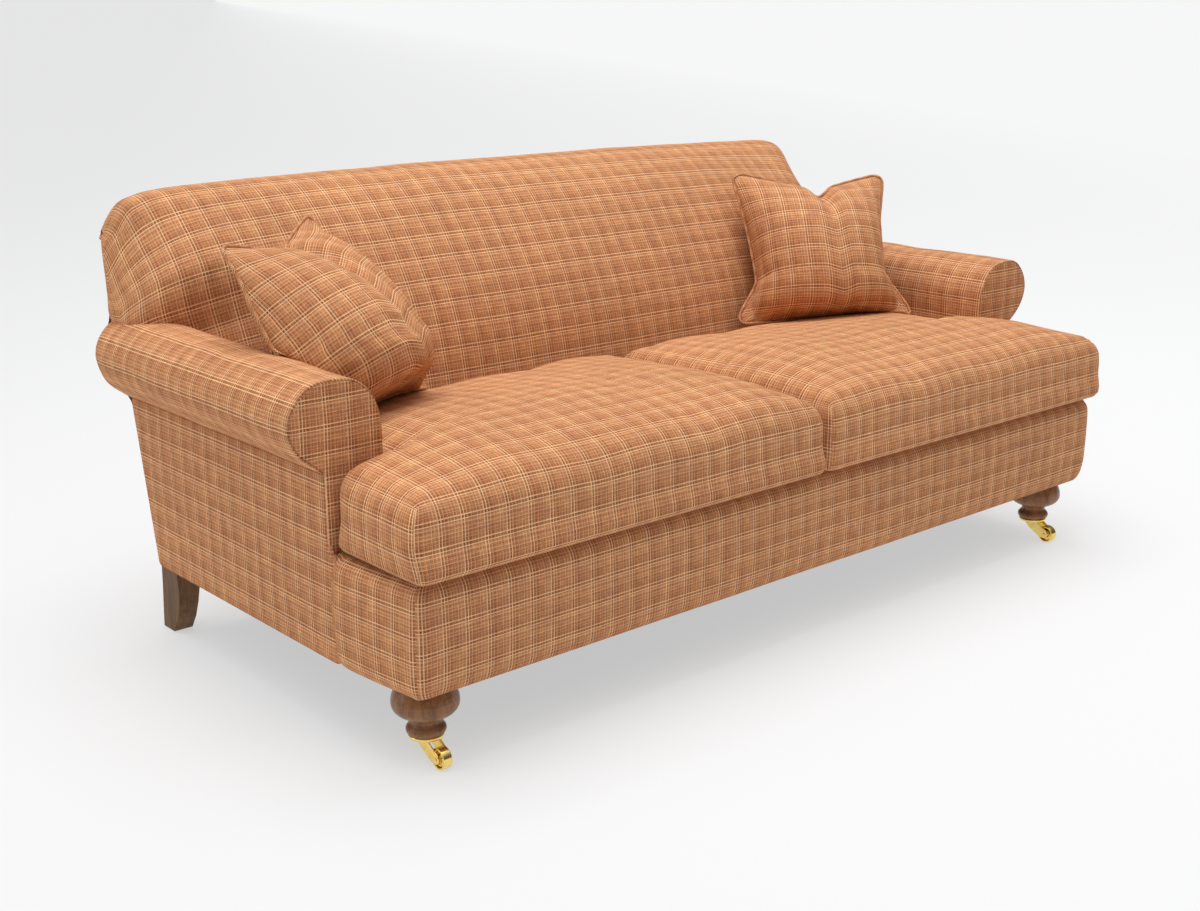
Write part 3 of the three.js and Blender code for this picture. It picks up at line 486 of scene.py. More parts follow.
# ------------------------------------------------------------------ arms
ARM = np.array([(.862, .342), (.862, .40), (.862, .50), (.8622, .545), (.8635, .575), (.868, .593), (.875, .611), (.885, .628), (.901, .643), (.916, .6515),
    (.937, .6562), (.960, .6580), (.985, .6570), (1.006, .650), (1.022, .6385), (1.037, .621), (1.0465, .602), (1.050, .583),
    (1.0475, .566), (1.041, .550), (1.029, .533), (1.013, .518), (.997, .506), (.9835, .4955), (.9785, .4935)])
FACING = np.array([(.8625, .338), (.8625, .545), (.8640, .575), (.8685, .592), (.8755, .6095), (.8855, .626), (.9015, .6405), (.9165, .649),
    (.937, .6540), (.960, .6557), (.984, .6550), (1.0045, .648), (1.0203, .6368), (1.0350, .6198), (1.0441, .6014), (1.0477, .5834),
    (1.0452, .5668), (1.0389, .5513), (1.0272, .5346), (1.0115, .5199), (.9956, .5080), (.9830, .4972), (.981, .495), (.981, .338)])

def make_arms():
    S = arc(ARM)
    sec = pchip(S, ARM, np.linspace(0, S[-1], 150))
    s = arc(sec)
    T = np.gradient(sec, axis=0); T /= np.linalg.norm(T, axis=1, keepdims=True)
    inward = np.stack([T[:, 1], -T[:, 0]], 1)      # to the inside of the arm
    y0, y1 = 0.166, None
    rows = np.concatenate([np.linspace(0, 0.02, 12), np.linspace(0.02, 1, 72)[1:]])
    m = len(rows)
    P = np.zeros((m, len(sec), 3))
    yr = y_rear(sec[:, 1]) - 0.0015
    for i, t in enumerate(rows):
        y = y0 + (yr - y0) * t
        # the cover turns into the facing seam, and eases in at the rear
        r = 0.0032
        k = np.clip((y - y0) / r, 0, 1)
        inset = r * (1 - np.sqrt(1 - (1 - k) ** 2)) * smooth(0.0, 0.02, s) * 0.85
        kr = np.clip((yr - y) / 0.05, 0, 1)
        inset = inset + 0.012 * (1 - np.sqrt(1 - (1 - kr) ** 2)) * smooth(.52, .58, sec[:, 1])
        P[i, :, 0] = sec[:, 0] + inward[:, 0] * inset
        P[i, :, 2] = sec[:, 1] + inward[:, 1] * inset
        P[i, :, 1] = y
    W = 0.0013 * wobble(P, 0.16, 8) * smooth(0, 0.03, P[..., 1] - y0) * smooth(0.0, 0.02, s)[None] * smooth(0.0, 0.02, s[-1] - s)[None]
    P[..., 0] += inward[:, 0] * W; P[..., 2] += inward[:, 1] * W
    C = np.stack([P[..., 1] + 0.010, np.repeat(s[None], m, 0) + 0.012], -1)
    # the rear edge turns in behind the outside back
    turn = [(-.0015, .0040), (-.0060, .0120)]
    P = np.concatenate([P] + [np.stack([P[-1, :, 0] + inward[:, 0] * b, P[-1, :, 1] + a, P[-1, :, 2] + inward[:, 1] * b], -1)[None] for a, b in turn])
    C = np.concatenate([C, C[-1:] + np.array([.0043, 0]), C[-1:] + np.array([.0134, 0])])
    r = grid_object("arm_cover_right", P, C, PLAID)
    face_outwards(r)
    l = mirrored(r, "arm_cover_left")
    for o, side in ((r, "right"), (l, "left")):
        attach(o, "frame"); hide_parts(f"arm_pad_{side}")

    # facing
    out = rounded(FACING, 260, 3, True)
    zs = graded(out[:, 1].min() + 1e-4, out[:, 1].max() - 1e-4, 150, 1.7)
    lo, hi = outline_rows(out, zs)
    def place(a, b, depth): return np.stack([a, 0.1655 + depth, b], -1)
    f = panel("arm_facing_cover_right", zs, lo, hi, 46, place, out, 0.0034, 0.004, (-0.035, 0.0285))
    face_outwards(f)
    fl = mirrored(f, "arm_facing_cover_left", (-0.0795, 0.0065))
    for o, side in ((f, "right"), (fl, "left")):
        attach(o, "frame"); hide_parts(f"arm_facing_{side}")

    # outside arm
    poly = np.array([(.1505, .1478), (float(y_rear(.1478)) + .0015, .1478), (float(y_rear(.497)) + .0015, .497), (.1665, .497), (.1665, .362), (.1505, .350)])
    out = rounded(poly, 300, 2, True)
    zs = graded(out[:, 1].min() + 1e-4, out[:, 1].max() - 1e-4, 60, 1.6)
    lo, hi = outline_rows(out, zs)
    def place2(a, b, depth): return np.stack([0.9835 - depth, a, b], -1)
    o1 = panel("outside_arm_cover_right", zs, lo, hi, 110, place2, out, 0.008, 0.002, (0.006, 0.004))
    face_outwards(o1)
    o2 = mirrored(o1, "outside_arm_cover_left", (0.0, 0.042))
    for o, side in ((o1, "right"), (o2, "left")):
        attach(o, "frame"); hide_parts(f"outside_arm_{side}")
make_arms()

# ------------------------------------------------------------------ front border
def make_border():
    # section from the hidden top flap, over the edge, down the face and under the rail: (inset, height)
    sec = np.array([(.120, .3515), (.080, .3525), (.045, .3532), (.026, .3525), (.014, .3480), (.0055, .3390), (.0012, .3270), (0, .312), (-.0012, .25), (0, .190),
                    (.001, .172), (.0045, .158), (.012, .149), (.024, .1455), (.040, .1452), (.052, .1452)])
    S = arc(sec); sc = pchip(S, sec, np.linspace(0, S[-1], 58)); s = arc(sc)
    r = 0.021
    X0, Y0 = 0.9905, -0.078
    XL, XR = -0.9720, 0.9995
    path = [(-.9790, .168), (-.9800, .158), (-X0 + 0.005, .1495), (-X0 + .001, .138), (-X0 + .002, .10), (-.982, .03)]
    path += [(XL + r - r * math.cos(a), Y0 + r - r * math.sin(a)) for a in np.linspace(0, math.pi / 2, 14)]
    front = [(x, Y0) for x in np.linspace(XL + r, XR - r, 120)[1:-1]]
    path += front
    path += [(XR - r + r * math.sin(a), Y0 + r - r * math.cos(a)) for a in np.linspace(0, math.pi / 2, 14)]
    path += [(X0 + .006, .03), (X0 + .001, .10), (X0 - .001, .138), (X0 - .005, .1495), (.9800, .158), (.9790, .168)]
    path = np.array(path)
    a = arc(path)
    q = np.unique(np.concatenate([np.linspace(0, a[-1], 170), np.linspace(0.15, 0.27, 26), a[-1] - np.linspace(0.15, 0.27, 26)]))
    pth = np.stack([np.interp(q, a, path[:, 0]), np.interp(q, a, path[:, 1])], 1)
    T = np.gradient(pth, q, axis=0); T /= np.linalg.norm(T, axis=1, keepdims=True)
    N = np.stack([-T[:, 1], T[:, 0]], 1)          # to the inside
    P = np.zeros((len(sc), len(q), 3))
    ins = sc[:, 0]
    for i in range(len(sc)):
        k = ins[i]
        # corners turn tighter than the flap is deep, so the flap mitres there
        px = pth[:, 0] + N[:, 0] * k; py = pth[:, 1] + N[:, 1] * k
        P[i, :, 0] = np.clip(px, np.minimum(pth[:, 0], -.94) + k, np.maximum(pth[:, 0], .94) - k); P[i, :, 1] = np.maximum(py, Y0 + k); P[i, :, 2] = sc[i, 1]
    # towards the lower edge the right end draws in
    P[..., 0] -= 0.020 * smooth(.950, .99, P[..., 0]) * np.clip((.208 - P[..., 2]) / .062, 0, 1) ** 1.7
    w = 0.0016 * wobble(P, 0.22, 21) * np.clip(1 - np.abs(sc[:, 0:1]) / 0.02, 0, 1)
    P[..., 0] += N[:, 0] * w; P[..., 1] += N[:, 1] * w
    # cloth: the front piece runs between the corner seams, the side pieces are cut separately
    mid = a[-1] / 2
    turn = arc(path[:np.argmax(path[:, 1] < Y0 + 1e-4)])[-1] - math.pi * r / 4
    k1 = int(np.argmin(np.abs(q - turn))); k2 = len(q) - 1 - int(np.argmin(np.abs((a[-1] - q[::-1]) - turn)))
    U = np.repeat((q - mid)[None], len(sc), 0); V = np.repeat((s[-1] - s)[:, None], len(q), 1)
    # the seam sinks a little between the two pieces of cloth
    for k in (k1, k2):
        dip = 0.0016 * np.exp(-((q - q[k]) / 0.0022) ** 2)[None] * np.clip(1 - np.abs(sc[:, 0:1]) / 0.02, 0, 1)
        P[..., 0] += N[:, 0] * dip; P[..., 1] += N[:, 1] * dip
    parts = [(slice(0, k1 + 1), 0.017, 0.0235), (slice(k1, k2 + 1), 0.0, 0.010), (slice(k2, len(q)), -0.012, 0.0180)]
    vs, fs, cs, n0 = [], [], [], 0
    for sl, du, dv in parts:
        G = P[:, sl]; vs.append(G.reshape(-1, 3)); fs.append(grid_faces(G.shape[0], G.shape[1], start=n0)); n0 += G.shape[0] * G.shape[1]
        cs.append(np.stack([U[:, sl] + du, V[:, sl] * 1.06 + dv], -1).reshape(-1, 2))
    F = np.concatenate(fs); C = np.concatenate(cs)
    ob = mesh_object("front_border_cover", np.concatenate(vs), F, C[F.ravel()], PLAID)
    bm = bmesh.new(); bm.from_mesh(ob.data); bmesh.ops.remove_doubles(bm, verts=bm.verts, dist=1e-6); bm.to_mesh(ob.data); bm.free()
    face_outwards(ob)
    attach(ob, "frame"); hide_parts("front_border")
make_border()

# ------------------------------------------------------------------ seat cushions
def make_seat_cushion():
    XM, XW, XE = 0.0025, 0.857, 0.974
    YF, YE, YB = -0.098, 0.157, 0.558
    Z0, Z1 = 0.3572, 0.500
    step = 0.0125
    def line(*b):
        out = [b[0]]
        for p, q in zip(b[:-1], b[1:]):
            k = max(1, int(round((q - p) / step)))
            out += list(p + (q - p) * np.arange(1, k + 1) / k)
        return np.array(out)
    xs, ys, zs = line(XM, XW, XE), line(YF, YE, YB), line(Z0, Z1)
    iw, je = int(np.argmin(abs(xs - XW))), int(np.argmin(abs(ys - YE)))
    nx, ny, nz = len(xs), len(ys), len(zs)
    inside = np.ones((nx - 1, ny - 1), bool); inside[iw:, je:] = False
    verts, index = [], {}
    faces, cloth = [], []
    def vid(i, j, k):
        key = (i, j, k)
        if key not in index:
            index[key] = len(verts); verts.append((xs[i], ys[j], zs[k]))
        return index[key]
    for i in range(nx - 1):
        for j in range(ny - 1):
            if not inside[i, j]: continue
            for k, top in ((nz - 1, True), (0, False)):
                ids = [(i, j), (i + 1, j), (i + 1, j + 1), (i, j + 1)]
                if not top: ids = ids[::-1]
                faces.append([vid(a, b, k) for a, b in ids]); cloth.append([(xs[a], ys[b]) for a, b in ids])
    def wall(i, j, i2, j2, kind):
        for k in range(nz - 1):
            ids = [(i, j, k), (i2, j2, k), (i2, j2, k + 1), (i, j, k + 1)]
            faces.append([vid(*t) for t in ids])
            c = []
            for (a, b, h) in ids:
                drop = Z1 - zs[h]
                if kind == "front": c.append((xs[a], YF - drop))
                elif kind == "back": c.append((xs[a], YB + drop))
                elif kind == "side": c.append((xs[a] + drop, ys[b]))
                else: c.append((xs[a] - drop, ys[b]))
            cloth.append(c)
    for i in range(nx - 1):
        for j in range(ny - 1):
            if not inside[i, j]: continue
            if j == 0: wall(i, j, i + 1, j, "front")
            if j == ny - 2 or not inside[i, j + 1]: wall(i + 1, j + 1, i, j + 1, "back")
            if i == 0: wall(i, j + 1, i, j, "mid")
            if i == nx - 2 or not inside[i + 1, j]: wall(i + 1, j, i + 1, j + 1, "side")
    V = np.array(verts)
    # ease every edge: each point keeps a set distance from a smaller inner T
    rh, rv, low = 0.034, 0.044, 0.42
    zc = Z0 + rv * low                      # below this height the edge turns more tightly
    def squash_z(z): return np.where(z < zc, (z - zc) / low, z - zc) * rh / rv
    def stretch_z(t): t = t * rv / rh; return np.where(t < 0, t * low, t) + zc
    A = V.copy(); A[:, 2] = squash_z(A[:, 2])
    B0, H = float(squash_z(np.array(Z0))), float(squash_z(np.array(Z1)))
    def clampbox(p, x0, x1, y0, y1):
        return np.stack([np.clip(p[:, 0], x0 + rh, x1 - rh), np.clip(p[:, 1], y0 + rh, y1 - rh), np.clip(p[:, 2], B0 + rh, H - rh)], 1)
    c1 = clampbox(A, XM, XW, YF, YB); c2 = clampbox(A, XM, XE, YF, YE)
    def reach_of(D):
        """upright and lower edges are boxed more squarely than the top ones"""
        h = (np.abs(D[:, 0]) ** 5 + np.abs(D[:, 1]) ** 5) ** .2
        q = np.where(D[:, 2] < 0, 3.4, 2.0)
        return (h ** q + np.abs(D[:, 2]) ** q) ** (1 / q)
    d1, d2 = reach_of(A - c1), reach_of(A - c2)
    c = np.where((d1 < d2)[:, None], c1, c2); d = np.minimum(d1, d2)[:, None]
    n = (A - c) / np.maximum(d, 1e-9)
    reach = rh + 0 * d
    far = d > 1e-9
    R = np.where(far & (d > reach * 0.999), c + n * reach, A)
    # flat faces stay where they are; only what stood beyond the rounding comes in
    V = R.copy(); V[:, 2] = stretch_z(V[:, 2])
    # crown on top, falling to the back where scatter cushions stand
    x, y, z = V[:, 0], V[:, 1], V[:, 2]
    up = smooth(Z0 + 0.06, Z1, z)
    ex = np.clip(np.minimum((x - XM) / 0.20, (np.where(y < YE, XE, XW) - x) / 0.26), 0, 1)
    ey = np.clip(np.minimum((y - YF) / 0.25, (YB - y) / 0.30), 0, 1)
    crown = 0.041 * np.sin(ex * math.pi / 2) ** 0.9 * np.sin(ey * math.pi / 2) ** 0.9
    crown *= 1 - 0.46 * smooth(.15, .5, y)
    V[:, 2] += up * crown
    # walls belly out
    belly = np.sin(np.clip((z - Z0) / (Z1 - Z0), 0, 1) * math.pi)
    V[:, 1] -= 0.006 * belly * smooth(YF + 0.03, YF, y)
    V[:, 0] += 0.010 * belly * smooth(XE - 0.03, XE, x) * smooth(YE + .0, YE - .06, y)
    F = np.array(faces); C = np.array(cloth).reshape(-1, 2)
    V[:, 2] += 0.0018 * wobble(V, 0.24, 31) * up
    ob = mesh_object("seat_cushion_cover_right", V, F, C, PLAID)
    face_outwards(ob)
    return ob

def settle(ob, pressure, frames, cap, shrink=0.0, stiff=12.0, pinned=None):
    """inflate with the cloth solver, then keep each point within cap of where it began"""
    me = ob.data
    n = len(me.vertices)
    a = np.empty(n * 3, np.float32); me.vertices.foreach_get("co", a); a = a.reshape(-1, 3).astype(float)
    mod = ob.modifiers.new("fill", "CLOTH")
    st = mod.settings
    st.quality = 5; st.mass = 0.25; st.tension_stiffness = stiff; st.compression_stiffness = stiff; st.shear_stiffness = stiff * 0.4; st.bending_stiffness = 0.4
    st.use_pressure = True; st.uniform_pressure_force = pressure
    st.effector_weights.gravity = 0
    mod.collision_settings.use_collision = False
    if pinned is not None:
        vg = ob.vertex_groups.new(name="held")
        for i in np.nonzero(pinned > 0)[0]: vg.add([int(i)], float(pinned[i]), "REPLACE")
        st.vertex_group_mass = "held"
    mod.point_cache.frame_start = 1; mod.point_cache.frame_end = frames
    sc = bpy.context.scene
    for f in range(1, frames + 1):
        sc.frame_set(f)
    dg = bpy.context.evaluated_depsgraph_get()
    ev = ob.evaluated_get(dg).to_mesh()
    b = np.empty(n * 3, np.float32); ev.vertices.foreach_get("co", b); b = b.reshape(-1, 3).astype(float)
    ob.evaluated_get(dg).to_mesh_clear()
    ob.modifiers.remove(mod); ob.vertex_groups.clear()
    sc.frame_set(1)
    d = b - a; L = np.linalg.norm(d, axis=1, keepdims=True)
    d *= np.minimum(1, cap / np.maximum(L, 1e-9))
    return a, d

def set_points(ob, p):
    ob.data.vertices.foreach_set("co", p.astype(np.float32).ravel()); ob.data.update()

right_seat = make_seat_cushion()
a, d = settle(right_seat, 3.0, 16, 0.012)
# the underside stays flat on the deck, and the cushion stays clear of its neighbours
p = a + d * smooth(0.372, 0.42, a[:, 2])[:, None]
p[:, 2] = np.maximum(p[:, 2], 0.3575)
p[:, 0] = np.maximum(p[:, 0], 0.0015)
p[:, 1] = np.where(p[:, 0] > .8605, np.minimum(p[:, 1], 0.1605 - YC), p[:, 1])
behind = p[:, 1] > 0.1605 - YC + 0.001
p[:, 0] = np.where(behind, np.minimum(p[:, 0], 0.8605), p[:, 0])
set_points(right_seat, p)
left_seat = mirrored(right_seat, "seat_cushion_cover_left", (0.0, 0.0))
def slide_seam(ob, ends):
    """the seam between the cushions stands 18 mm to the right of the middle, and the right-hand front end further out"""
    n = len(ob.data.vertices)
    p = np.empty(n * 3, np.float32); ob.data.vertices.foreach_get("co", p); p = p.reshape(-1, 3).astype(float)
    x = p[:, 0]
    add = 0.018 * (1 - smooth(0.0, 0.80, np.abs(x)))
    front = smooth(0.150 - YC, 0.115 - YC, p[:, 1])
    add = add + ends * smooth(.55, .93, np.abs(x)) * front
    p[:, 0] = x + add
    set_points(ob, p)
slide_seam(right_seat, 0.022)
slide_seam(left_seat, 0.0)
for o, side in ((right_seat, "right"), (left_seat, "left")):
    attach(o, f"{side}_seat_cushion"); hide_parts(f"seat_cushion_{side}")

# ------------------------------------------------------------------ scatter cushions
from mathutils.bvhtree import BVHTree

def height_field(objs, x0, x1, y0, y1, step=0.01):
    """highest point of some meshes over a grid, in lengths from the front leg axis"""
    xs = np.arange(x0, x1 + step, step); ys = np.arange(y0, y1 + step, step)
    H = np.full((len(xs), len(ys)), -1.0)
    for o in objs:
        t = BVHTree.FromObject(o, bpy.context.evaluated_depsgraph_get())
        for i, x in enumerate(xs):
            for j, y in enumerate(ys):
                hit = t.ray_cast(Vector((x, y - YC, 1.2)), Vector((0, 0, -1)))
                if hit[0] is not None: H[i, j] = max(H[i, j], hit[0].z)
    def at(x, y):
        fx = np.clip((x - x0) / step, 0, len(xs) - 1.001); fy = np.clip((y - y0) / step, 0, len(ys) - 1.001)
        i, j = fx.astype(int), fy.astype(int); a, b = fx - i, fy - j
        return H[i, j] * (1 - a) * (1 - b) + H[i + 1, j] * a * (1 - b) + H[i, j + 1] * (1 - a) * b + H[i + 1, j + 1] * a * b
    return at

def back_limit(x, z):
    """how far back a thing at x, z may stand before it meets the inside back"""
    p = PROFILE[:15]
    y = np.interp(z, p[:, 1], p[:, 0]); w = smooth(.69, .81, z); ax = np.abs(x)
    d = np.interp(ax, XS, LO) * (1 - w) + np.interp(ax, XS, HI) * w
    slope = np.gradient(p[:, 0], p[:, 1]); k = np.interp(z, p[:, 1], slope)
    return y - d * np.sqrt(1 + k * k)

def pillow(n, S):
    """front and back panels of a filled square cushion with its top pressed in, on an (n+1)^2 grid.
    S gives its four corners, and how far its sides draw in, as parts of its width"""
    s = np.linspace(0, 1, n + 1); U, W = np.meshgrid(s, s)
    knots = [0, .06, .22, .27, .34, .6, .9, 1]
    left_a, right_a = pchip(knots, np.array(S["left"]), s), 1 - pchip(knots, np.array(S["right"]), s)
    side_z = pchip([0, .24, 1], [0, S["waist_up"], 1], s)
    q = np.abs(2 * s - 1)
    bottom_z = S["arc"] * (1 - q**2.2)
    at = S["at"]
    nk = np.clip(1 - np.abs(s - at) / np.where(s < at, at, 1 - at), 0, 1)
    top_z = 1 - S["dip"] * (0.66 * nk**1.15 + 0.34 * np.clip((nk - .80) / .20, 0, 1))
    top_a = left_a[-1] * (1 - s) + right_a[-1] * s; bot_a = left_a[0] * (1 - s) + right_a[0] * s
    # threads keep their length round the filling, so they stand closer near the seams
    k = S["wrap"] * (np.sin(W * math.pi) ** 0.6) * (1 - 0.75 * smooth(.70, .98, W)) * smooth(0, .2, W)
    g = (1 - k) * U + k * (0.5 - 0.5 * np.cos(math.pi * U))
    k2 = np.sin(U * math.pi) ** 0.6
    wz = pchip([0, .05, .12, .22, .38, .55, .72, .86, .95, 1], [0, .014, .052, .15, .33, .53, .715, .865, .953, 1], s)[:, None]
    h = (1 - k2) * W + k2 * wz
    r = S["round"]
    for sx in (0, 1):
        for sy in (0, 1):
            cx = r - (g if sx == 0 else 1 - g); cy = r - (h if sy == 0 else 1 - h)
            m = (cx > 0) & (cy > 0); L = np.hypot(cx, cy); f = np.maximum(cx, cy) / np.maximum(L, 1e-9)
            nx, ny = r - cx * f, r - cy * f
            g = np.where(m, nx if sx == 0 else 1 - nx, g); h = np.where(m, ny if sy == 0 else 1 - ny, h)
    def coons(l, rr, b, t, x, y, c):
        gi = lambda arr, v: np.interp(v, s, arr)
        return (1 - x) * gi(l, y) + x * gi(rr, y) + (1 - y) * gi(b, x) + y * gi(t, x) - ((1 - x) * (1 - y) * c[0] + x * (1 - y) * c[1] + (1 - x) * y * c[2] + x * y * c[3])
    A = coons(left_a, right_a, bot_a, top_a, g, h, (left_a[0], right_a[0], left_a[-1], right_a[-1]))[..., None]
    Z = coons(side_z, side_z, bottom_z, top_z, g, h, (0, 0, 1, 1))[..., None]
    # lower corners are flat flaps outside a diagonal fold; the body is full right down to the seat
    mm = S["flap"] * np.clip(1 - W / .25, 0, 1)
    Ub = np.clip((U - mm) / (1 - 2 * mm), 0, 1)
    fu = np.clip(1 - np.abs(2 * Ub - 1) ** S["pu"], 0, 1) ** S["eu"]
    fw = pchip([0, .03, .08, .15, .25, .38, .55, .72, .86, .95, 1], S["up"], s)[:, None]
    fl = .35 * smooth(.72, 1.0, W)
    fu = fu * (1 - fl) + fl * np.sin(math.pi * U) ** 1.2
    F = fu * fw
    F = np.maximum(F, 0.11 * (np.sin(np.pi * U) * np.sin(np.pi * W)) ** .5)
    F *= 1 - S["groove"] * np.exp(-((U - at) / .07) ** 2) * smooth(.70, 1.0, W)
    BL, BR, EL, ER = (np.array(S[c]) for c in ("bl", "br", "el", "er"))
    base = (1 - A) * (1 - Z) * BL + A * (1 - Z) * BR + (1 - A) * Z * EL + A * Z * ER
    out = np.cross(BR + ER - BL - EL, EL + ER - BL - BR); out /= np.linalg.norm(out)
    if out[1] < 0: out = -out
    return base - (S["front"] * F)[..., None] * out, base + (S["back"] * F)[..., None] * out, out

def cloth_lengths(G, row):
    """thread coordinates measured over the surface from its middle column and one row"""
    n = G.shape[0]; c = n // 2
    du = np.linalg.norm(np.diff(G, axis=1), axis=2); dv = np.linalg.norm(np.diff(G, axis=0), axis=2)
    Uc = np.zeros((n, n)); Vc = np.zeros((n, n))
    Uc[:, c + 1:] = np.cumsum(du[:, c:], 1); Uc[:, :c] = -np.cumsum(du[:, :c][:, ::-1], 1)[:, ::-1]
    Vc[row + 1:] = np.cumsum(dv[row:], 0); Vc[:row] = -np.cumsum(dv[:row][::-1], 0)[::-1]
    return Uc, Vc

seat_top = height_field([left_seat, right_seat], -1.0, 1.0, -0.11, 0.60, 0.0125)

def make_scatter(side, S):
    n = 64
    sg = 1 if side == "right" else -1
    front, back, out = pillow(n, S)
    m = n + 1
    s = np.linspace(0, 1, m); U, W = np.meshgrid(s, s)
    uf, vf = cloth_lengths(front, int(.45 * n)); ub, vb = cloth_lengths(back, int(.45 * n))
    # the middle of the panel rides up over the filling, and the cover is a little askew
    arch = (np.sin(np.pi * U) ** .8) * np.sin(np.pi * np.clip(W, 0, 1)) ** .6
    vf = vf - S["arch"] * arch - S["skew"] * (U - .5) * np.sin(np.pi * W) ** .4
    uf = uf + S["skew"] * (W - .5) * np.sin(np.pi * U) ** .4
    g = np.arange(m * m).reshape(m, m)
    inner = np.ones((m, m), bool); inner[0] = inner[-1] = inner[:, 0] = inner[:, -1] = False
    b = g.copy(); b[inner] = m * m + np.arange(inner.sum())
    P = np.concatenate([front.reshape(-1, 3), back[inner]])
    # contact: the seat, the inside back and the arm flatten what would reach them
    def press(P, gap):
        P = P.copy()
        for _ in range(3):
            P[:, 1] = np.where((np.abs(P[:, 0]) < 1.0) & (P[:, 2] < .9), np.minimum(P[:, 1], back_limit(P[:, 0], P[:, 2]) - gap), P[:, 1])
            x = P[:, 0] * sg
            near = (P[:, 1] > .10) & (P[:, 2] < .575) & (x > .8615 - gap)
            x = np.where(near, .8615 - gap, x)
            ax_, az = .100 + gap, .104 + gap
            dx, dz = (x - .960) / ax_, (P[:, 2] - .560) / az
            r = np.hypot(dx, dz)
            ins = (P[:, 1] > .12) & (P[:, 2] >= .56) & (r < 1) & (x < 1.05)
            x = np.where(ins, .960 + dx / np.maximum(r, 1e-6) * ax_, x)
            P[:, 2] = np.where(ins, .560 + dz / np.maximum(r, 1e-6) * az, P[:, 2])
            P[:, 0] = x * sg
            P[:, 2] = np.maximum(P[:, 2], seat_top(P[:, 0], P[:, 1]) + gap)
        return P
    P = press(P, 0.004)
    f = []
    cl = []
    for G, uu, vv, flip in ((g, uf, vf, False), (b, ub, vb, True)):
        a = np.stack([G[:-1, :-1], G[:-1, 1:], G[1:, 1:], G[1:, :-1]], -1).reshape(-1, 4)
        C = np.stack([uu, vv], -1)
        c = np.stack([C[:-1, :-1], C[:-1, 1:], C[1:, 1:], C[1:, :-1]], 2).reshape(-1, 4, 2)
        if flip: a, c = a[:, ::-1], c[:, ::-1]
        f.append(a); cl.append(c)
    F = np.concatenate(f); C = np.concatenate(cl).reshape(-1, 2) + np.array(S["cloth"])
    ob = mesh_object(f"scatter_cushion_cover_{side}", P, F, C, PLAID)
    face_outwards(ob)
    p0, d = settle(ob, 3.0, 14, 0.006, stiff=20.0)
    q = p0 + d; q[:, 1] += YC
    # the seat, the inside back and the arm flatten it once more after settling
    q = press(q, 0.003); q[:, 1] -= YC
    set_points(ob, q)
    co = np.empty(len(ob.data.vertices) * 3, np.float32); ob.data.vertices.foreach_get("co", co); co = co.reshape(-1, 3).astype(float)
    rim_ids = np.concatenate([g[0, :], g[1:, -1], g[-1, :-1][::-1], g[1:-1, 0][::-1]])
    rim = co[rim_ids]; rim[:, 1] += YC
    piping(f"scatter_piping_{side}", rim, press, side, out)
    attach(ob, f"{side}_scatter_cushion"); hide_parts(f"scatter_cushion_{side}")
    return ob

def piping(name, rim, press, side, out):
    """a covered cord sewn in round the rim; its cloth is cut on the bias"""
    for _ in range(4): rim = (np.roll(rim, 1, 0) + 2 * rim + np.roll(rim, -1, 0)) / 4
    rim = resample(rim, 420, True)
    T = np.roll(rim, -1, 0) - np.roll(rim, 1, 0); T /= np.linalg.norm(T, axis=1, keepdims=True)
    N1 = np.cross(T, out); N1 /= np.linalg.norm(N1, axis=1, keepdims=True); N2 = np.cross(T, N1)
    c = rim.mean(0); s = np.sign(((rim - c) * N1).sum(1).mean())
    mid = rim + N1 * s * 0.0018
    k = 10; R = 0.0036
    L = np.concatenate([[0], np.cumsum(np.linalg.norm(np.diff(rim, axis=0), axis=1))])
    a = np.linspace(0, 2 * math.pi, k + 1)
    P = mid[:, None] + R * (np.cos(a)[None, :, None] * N1[:, None] + np.sin(a)[None, :, None] * N2[:, None])
    P = np.concatenate([P, P[:1]], 0); L = np.append(L, L[-1] + np.linalg.norm(rim[0] - rim[-1]))
    C = np.zeros(P.shape[:2] + (2,)); ang = a[None] * R
    C[..., 0] = (L[:, None] + ang) * .7071 * 1.9; C[..., 1] = (L[:, None] - ang) * .7071 * 1.9
    P = press(P.reshape(-1, 3), 0.0015).reshape(P.shape)
    ob = grid_object(name, P, C, PLAID)
    bm = bmesh.new(); bm.from_mesh(ob.data); bmesh.ops.remove_doubles(bm, verts=bm.verts, dist=1e-6); bmesh.ops.recalc_face_normals(bm, faces=bm.faces); bm.to_mesh(ob.data); bm.free()
    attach(ob, f"{side}_scatter_cushion")

UP = [0, .33, .60, .80, .94, 1, .97, .82, .56, .28, 0]
make_scatter("right", dict(bl=[.425, .560, .503], br=[.806, .312, .513], el=[.528, .690, .859], er=[.868, .478, .848],
    left=[0, .024, .100, .118, .112, .078, .020, 0], right=[0, .022, .105, .130, .128, .098, .03, .006],
    waist_up=.255, arc=.03, at=.55, dip=.165, groove=.25, front=.135, back=.115, round=.075, pu=2.0, eu=.80, wrap=.55, flap=.13, up=UP,
    arch=.020, skew=0.0, cloth=(0.012, 0.02)))
make_scatter("left", dict(bl=[-.862, .335, .510], br=[-.540, .470, .512], el=[-.962, .530, .846], er=[-.636, .745, .857],
    left=[0, -.02, -.07, -.08, -.07, -.03, .0, 0], right=[0, .010, .045, .055, .055, .045, .01, 0],
    waist_up=.25, arc=.03, at=.5, dip=.20, groove=.30, front=.165, back=.10, round=.07, pu=2.0, eu=.78, wrap=.5, flap=.10,
    up=[0, .42, .72, .90, 1, 1, .90, .72, .48, .24, 0], arch=.02, skew=.03, cloth=(0.0, 0.013)))

